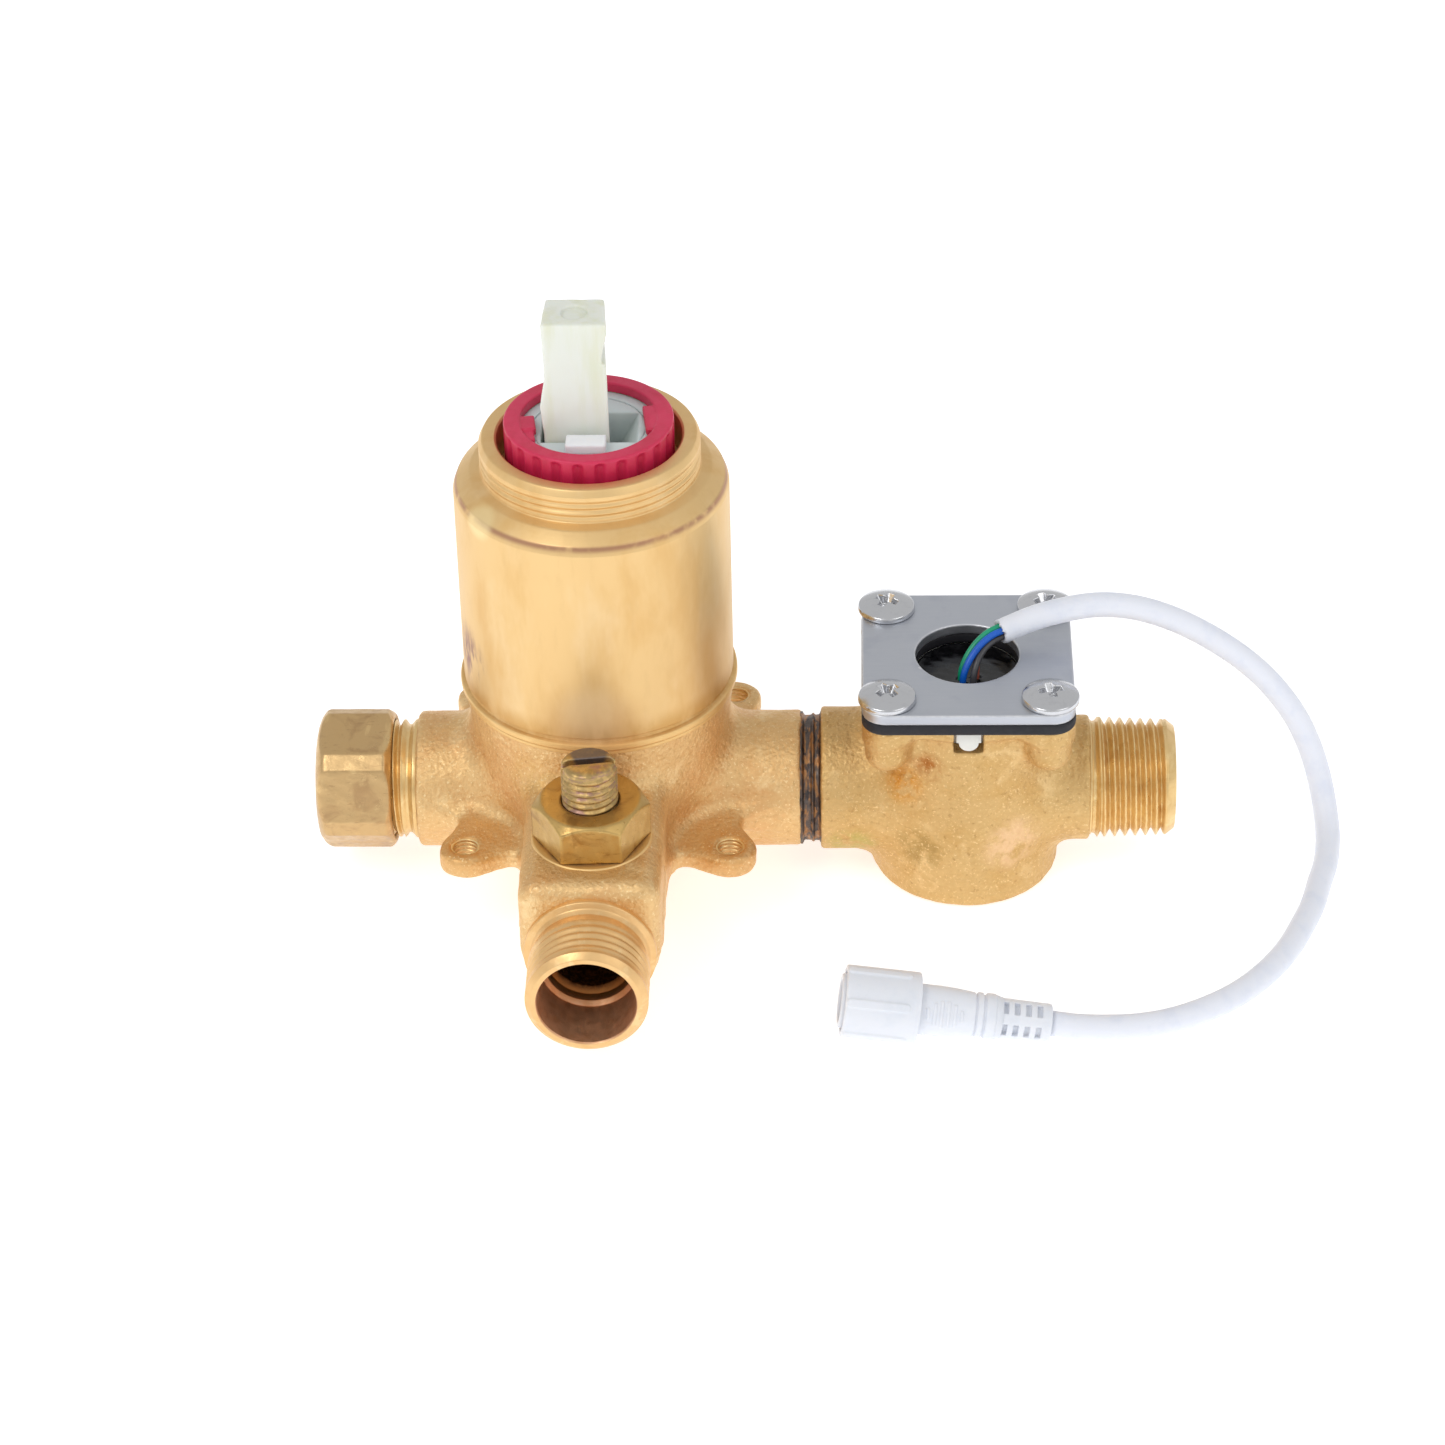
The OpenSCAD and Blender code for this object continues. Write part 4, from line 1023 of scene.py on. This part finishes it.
def make_sensor():
    low = (braze_high[0], sensor_low[1], floor_z)
    high = (86, sensor_high[1], cup_top)
    moulded("sensor_casting", sensor_field, low, high, 0.4, sensor_brass, "valve", "dark_brass",
            ["sensor_body"])
    end = sensor_high[0]
    thread = outline(
        (7.6, 80), (10.2, 80), (10.2, 86.2), (9.9, 86.35, 0.1), (10.0, 86.9, 0.2), (10.67, 87.4, 0, 1),
        (10.25, end - 1.7, 0.3), (9.1, end - 0.2, 0.3), (7.9, end - 0.2, 0.2), (7.6, end - 0.5))
    piece("outlet_thread", aimed(turned(thread, 160, pitch=1.814, depth=1.25, fade=0.7), (1, 0, 0)),
          thread_brass, "valve", "turned_brass", ["sensor_body"], sharp=50)


def slab_field(low, high, rounding, hole, edge):
    """A square plate or gasket on the sensor, with a centre hole and four screw holes."""
    half = (high[0] - low[0]) / 2 - rounding

    def field(x, y, z):
        u = x - sensor_x
        v = np.abs(y + 0.25) - 0.45
        flat = corner(np.abs(u) - half, v - half) - rounding
        body = common(flat, slab(z, low[2], high[2]), edge)
        body = cut(body, length(u, y) - hole, edge)
        return cut(body, length(np.abs(u) - screw_half, np.abs(y) - screw_half) - 2.2)
    return field


def make_flange():
    room = np.array([0, 1, 0])
    moulded("clamp_plate", slab_field(plate_low, plate_high, 4, 9.0, 0.3), plate_low - room,
            plate_high + room, 0.3, brushed_steel, "valve", "stainless", ["clamp_plate"])
    moulded("flange_gasket", slab_field(gasket_low, gasket_high, 4.1, 9.25, 0.7), gasket_low - room,
            gasket_high + room, 0.35, gasket_rubber, "valve", "gasket_rubber", ["flange_gasket"])


def screw_field(x, y, z):
    """Pan head with a thin rim and a cross recess, about its own centre with the plate at z 0."""
    radial = length(x, y)
    dome = length(radial, z - 2.3 + 10) - 10
    head = common(common(round_rod(radial, z, 5.0, 0.1, 3), dome, 0.2), radial - 5, 0.2)
    head = join(head, round_rod(radial, z, 5.0, 0.05, 0.75, 0.35), 0.2)
    slots = []
    for a, b in ((x, y), (y, x)):
        width = 0.5 + 0.2 * (z - 1)
        slots.append(common(np.abs(a) - width, np.abs(b) - (1.2 + 0.75 * (z - 0.7)), 0.1))
    recess = common(join(slots[0], slots[1], 0.35), 0.6 - z, 0.2)
    return cut(head, recess, 0.15)


def make_screws():
    head, faces = surface_net(screw_field, (-5.1, -5.1, 0), (5.1, 5.1, 2.4), 0.16 * COARSE)
    shank = outline((0, -10), (1.95, -10, 0.3), (1.95, 0.3), (0, 0.3))
    places = ((-1, -1, 40), (1, -1, 12), (-1, 1, 62), (1, 1, 24))
    shapes = []
    for sx, sy, turn in places:
        centre = (sensor_x + sx * screw_half, sy * screw_half, plate_high[2])
        turned_head = np.stack([*spun(head[:, 0], head[:, 1], -turn), head[:, 2]], 1)
        shapes.append((turned_head + centre, faces))
        shapes.append(aimed(turned(shank, 48), (0, 0, 1), centre))
    piece("clamp_screws", together(*shapes), screw_steel, "valve", "screw_steel", ["clamp_screws"])


def potting_field(x, y, z):
    """Cured resin with a meniscus at its wall and small mounds round the wires."""
    u = x - sensor_x
    radial = length(u, y)
    top = potting_high[2] - 0.35 + 0.3 * np.clip((radial - 7.6) / 1.4, 0, 1) ** 2
    for foot, size in (((63.4, -3.8), 0.55), ((63.1, -2.3), 0.4), ((65.7, -1.9), 0.5),
                       ((65.2, -4.2), 0.35), ((64.2, -5.6), 0.3), ((67.4, -4.4), 0.35)):
        away = length(x - foot[0], y - foot[1])
        top = top + size * np.exp(-(away / 0.95) ** 2)
    top = top + 0.05 * lumps(x, y, z * 0, 2.4, 31)
    return common(common(z - top, radial - 9.15), 21.2 - z)


make_sensor()
make_flange()
make_screws()
moulded("potting", potting_field, (sensor_x - 9.3, -9.3, 20.8), (sensor_x + 9.3, 9.3, 23.4), 0.2,
        potting_resin, "valve", "potting_resin", ["potting"])


# ---- Stops ----

def bonnet_field(x, y, z):
    """Hexagon with a turned top chamfer, its flats facing front and back."""
    flats = hexagon(x, y, 17.6, math.radians(2.5))
    radial = length(x, y)
    top = bonnet_high[2]
    chamfer = radial - 10.15 + np.maximum(z - top + 1.5, 0) * 1.15
    body = common(flats, chamfer, 0.15)
    body = common(body, slab(z, hex_bottom + 0.05, top), 0.25)
    base = round_rod(radial, z, 8.6, hex_bottom - 0.6, hex_bottom + 1)
    body = join(body, base)
    body = join(body, round_rod(radial, z, 7.95, bonnet_low[2], hex_bottom))
    body = body + 0.035 * lumps(x, y, z, 3, 41)
    body = cut(body, radial - 4.95, 0.25)
    return cut(body, round_rod(radial, z, 6.25, 0, hex_bottom + 3.5))


def stem_field(x, y, z):
    """Threaded stem with a screwdriver slot."""
    radial = length(x, y)
    top = stem_high[2]
    angle = np.arctan2(y, x)
    share = np.clip((z - 12) / 1.0, 0, 1) * np.clip((top - 1.6 - z) / 0.8, 0.35, 1)
    thread = 0.42 * share * helix(angle, z, 1.25, 0.25, 0.15)
    body = common(radial - 4.8 + thread, slab(z, stem_low[2] + 1.8, top), 1.6)
    body = join(body, round_rod(radial, z, 6.12, stem_low[2] + 1.8, stem_low[2] + 6.8))
    body = body + 0.05 * lumps(x, y, z, 2, 51)
    across = np.abs(spun(x, y, 8)[1]) - 0.75
    return cut(body, common(across, top - 1.75 - z, 0.2), 0.3)


def make_stops():
    hex_shape = surface_net(
        bonnet_field, (-10.3, -10.3, bonnet_low[2]), (10.3, 10.3, bonnet_high[2]), 0.28 * COARSE)
    stem_shape = surface_net(
        stem_field, (-6.2, -6.2, stem_low[2]), (6.2, 6.2, stem_high[2]), 0.17 * COARSE)
    for name, way in (("front", -1), ("back", 1)):
        turn = Matrix.Rotation(0 if way < 0 else math.pi, 3, "Z")
        at = np.array([0, way * stop_y, 0])
        for part, shape, look, body, slot in (
                ("bonnet", hex_shape, bonnet_brass, "valve", "nut_brass"),
                ("stop_stem", stem_shape, stem_brass, name + "_stem", "nut_brass")):
            moved = shape[0] @ np.array(turn).T + at
            piece(f"{name}_{part}", (moved, shape[1]), look, body, slot, [f"{name}_{part}"])


make_stops()


# ---- Cartridge ----

def ring_field(x, y, z):
    """Limit ring with rounded flutes and two inner stops."""
    radial = length(x, y)
    angle = np.arctan2(y, x)
    flutes = 24
    top, bottom = ring_high[2], ring_low[2]
    local = ((angle - math.radians(10.3)) / TURN * flutes + 0.5) % 1 - 0.5
    across = local * TURN / flutes * radial
    groove = length(across, radial - 14.7) - 0.95
    groove = common(groove, z - top + 0.5, 1.0)
    body = common(radial - 14.4, slab(z, bottom, top), 0.45)
    body = cut(body, groove, 0.3)
    body = cut(body, radial - 11.6, 0.3)
    right = block(x + 0.12 * y, y, z, (9.4, -3.4, 73.1), (12.6, 4.4, top - 0.25), 0.4)
    u, v = spun(x, y, 188)
    left = block(u, v, z, (9.0, -2.6, 73.1), (12.6, 1.8, top - 0.25), 0.3)
    step = block(u, v, z, (9.4, 1.2, 73.05), (12.6, 4.8, 74.2), 0.25)
    body = join(join(body, right, 0.3), join(left, step, 0.2), 0.3)
    return cut(body, round_rod(radial, z, 12.36, 0, 73.03))


def rotor_field(x, y, z):
    """Turning core: a disc with the tapered pocket that the lever swings in."""
    radial = length(x, y)
    top = housing_high[2] - 0.1
    body = round_rod(radial, z, 9.7, rotor_low[2], top, 0.3)
    body = join(body, round_rod(radial, z, 12.9, rotor_low[2], 58.7))
    reach = 4.6 + 0.55 * (z - 66)
    left = -7.9 - 0.6 * np.clip((69 - z) / 2, 0, 1)
    pocket = common(common(np.maximum(left - x, x - reach), np.abs(y) - 4.75), radial - 9.35)
    body = cut(body, common(pocket, 61.2 - z), 0.4)
    body = cut(body, block(x, y, z, (3.6, -0.2, top - 0.9), (7.6, 4.6, top + 2), 0.3), 0.2)
    slot = block(x, y, z, (-9.5, -2.6, 50), (1, 2.6, 66), 0.2)
    return cut(body, slot)


def tab_field(x, y, z):
    top = rotor_high[2]
    body = block(x, y, z, (-3.5, -9.35, top - 1.85), (3.3, -5.7, top), 0.35)
    return join(body, block(x, y, z, (-3.1, -8.7, top - 3.2), (3.0, -5.8, top - 1), 0.2), 0.2)


def lever_field(x, y, z):
    """Lever: a head that narrows on the right above a rib, with a belly on the left."""
    top = lever_high[2]
    left = graded(z, [60, 74, 79.3, 84.6, 87, top], [-7.2, -7.3, -7.75, -6.9, -6.85, -7.15])
    right = graded(z, [60, 87.3, 87.7, 88.6, top - 1.6, top], [3.85, 3.65, 2.9, 2.9, 3.95, 3.9])
    taper = 0.05 * (y + 4.5)
    body = common(common(left + taper - x, x - right + taper * 1.6, 0.5), np.abs(y) - 4.45, 0.5)
    body = common(body, slab(z, 63.8, top), 0.45)
    centre = (lever_low[0] + lever_high[0]) / 2
    body = cut(body, round_rod(length(x - centre, y), z, 2.2, top - 0.7, top + 2, 0.3), 0.4)
    body = body + 0.04 * lumps(x, y, z, 4, 61)
    arm = round_rod(length(x + 1.7, y), z, 2.0, 55, 66)
    return join(body, arm, 0.5)


def make_cartridge():
    fine = 0.22
    moulded("limit_ring", ring_field, (-14.5, -14.5, ring_low[2]), (14.5, 14.5, ring_high[2]), fine,
            red_plastic, "valve", "red_plastic", ["hot_limit_ring"])
    moulded("rotor", rotor_field, (-13, -13, rotor_low[2]), (13, 13, 73.2), fine * 1.2,
            cartridge_plastic, "core", "cartridge_plastic", ["rotor"])
    moulded("rotor_tab", tab_field, (-3.6, -9.5, 71.5), (3.4, -5.6, rotor_high[2]), fine,
            tab_plastic, "core", "cartridge_plastic", ["rotor"])
    moulded("lever", lever_field, (-8, -4.6, 55), (4.1, 4.6, lever_high[2]), fine * 1.1,
            lever_plastic, "lever", "lever_plastic", ["lever"])
    top = housing_high[2]
    neck = outline((9.78, 60), (12.28, 60), (12.28, top - 0.9, 0.1), (11.75, top - 0.85),
                   (11.72, top, 0.15), (9.78, top, 0.25))
    skirt = outline((9.9, 59.1), (13.4, 59.1), (13.4, 34), (15.2, 34), (15.2, 61, 0.3), (9.9, 61))
    for name, rows, segments in (("cartridge_neck", neck, 128), ("cartridge_skirt", skirt, 96)):
        piece(name, turned(rows, segments), cartridge_plastic, "valve", "cartridge_plastic",
              ["cartridge_housing"])


make_cartridge()


# ---- CAD nodes that keep their own shape ----

cad_looks = (
    (cartridge_plastic, "cartridge_plastic", "cartridge_base"),
    (gasket_rubber, "rubber_black",
     "base_seals housing_oring disc_seals rotor_oring front_stop_oring front_stop_washer "
     "back_stop_oring back_stop_washer cap_gasket capsule_oring connector_seal"),
    (gasket_rubber, "magnet", "impeller_magnet"),
    (ceramic, "ceramic", "fixed_disc moving_disc"),
    (white_plastic, "white_plastic", "disc_carrier turbine_cage impeller sensor_capsule"),
    (screw_steel, "pin_steel", "lever_pin impeller_axle"),
    (green_plastic, "green_plastic", "green_index_ring"),
    (cap_brass, "nut_brass", "retaining_nut"),
    (board_green, "board", "hall_board"),
    (thread_brass, "contact_brass", "connector_pins"),
)
for look, slot_name, nodes in cad_looks:
    for node in nodes.split():
        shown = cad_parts[node]
        shown.data.materials.clear()
        shown.data.materials.append(look)


# ---- Floor and light ----

def make_floor():
    mesh = bpy.data.meshes.new("studio_floor")
    work = bmesh.new()
    bmesh.ops.create_grid(work, x_segments=4, y_segments=4, size=4)
    work.to_mesh(mesh)
    work.free()
    floor = bpy.data.objects.new("studio_floor", mesh)
    floor.location.z = floor_z * MM - 0.0002
    bpy.context.scene.collection.objects.link(floor)
    look = Finish("studio_white", tint(226, 228, 232), roughness=0.9, Specular_IOR_Level=0.0)
    look.paint(look.level(look.noise(60), 0.3, 0.7), tint(230, 231, 234))
    look.shader.inputs["Emission Color"].default_value = (1, 1, 1, 1)
    look.shader.inputs["Emission Strength"].default_value = 0.62
    mesh.materials.append(look.material)


def area_light(name, place, target, size, power):
    """A soft square light, with places in metres."""
    data = bpy.data.lights.new(name, "AREA")
    data.size = size
    data.energy = power
    lamp = bpy.data.objects.new(name, data)
    lamp.location = place
    lamp.rotation_mode = "QUATERNION"
    lamp.rotation_quaternion = (Vector(place) - Vector(target)).to_track_quat("Z", "Y")
    bpy.context.scene.collection.objects.link(lamp)


def make_world(strength):
    world = bpy.data.worlds.new("studio")
    world.use_nodes = True
    world.node_tree.nodes["Background"].inputs["Color"].default_value = (1, 1, 1, 1)
    world.node_tree.nodes["Background"].inputs["Strength"].default_value = strength
    bpy.context.scene.world = world


make_floor()
make_world(0.66)
area_light("key", (-0.5, -0.6, 0.9), (0.02, 0, 0.02), 0.5, 3.2)
area_light("fill", (0.7, -0.5, 0.7), (0.02, 0, 0.02), 0.6, 1.4)
bpy.context.scene.view_settings.view_transform = "Standard"
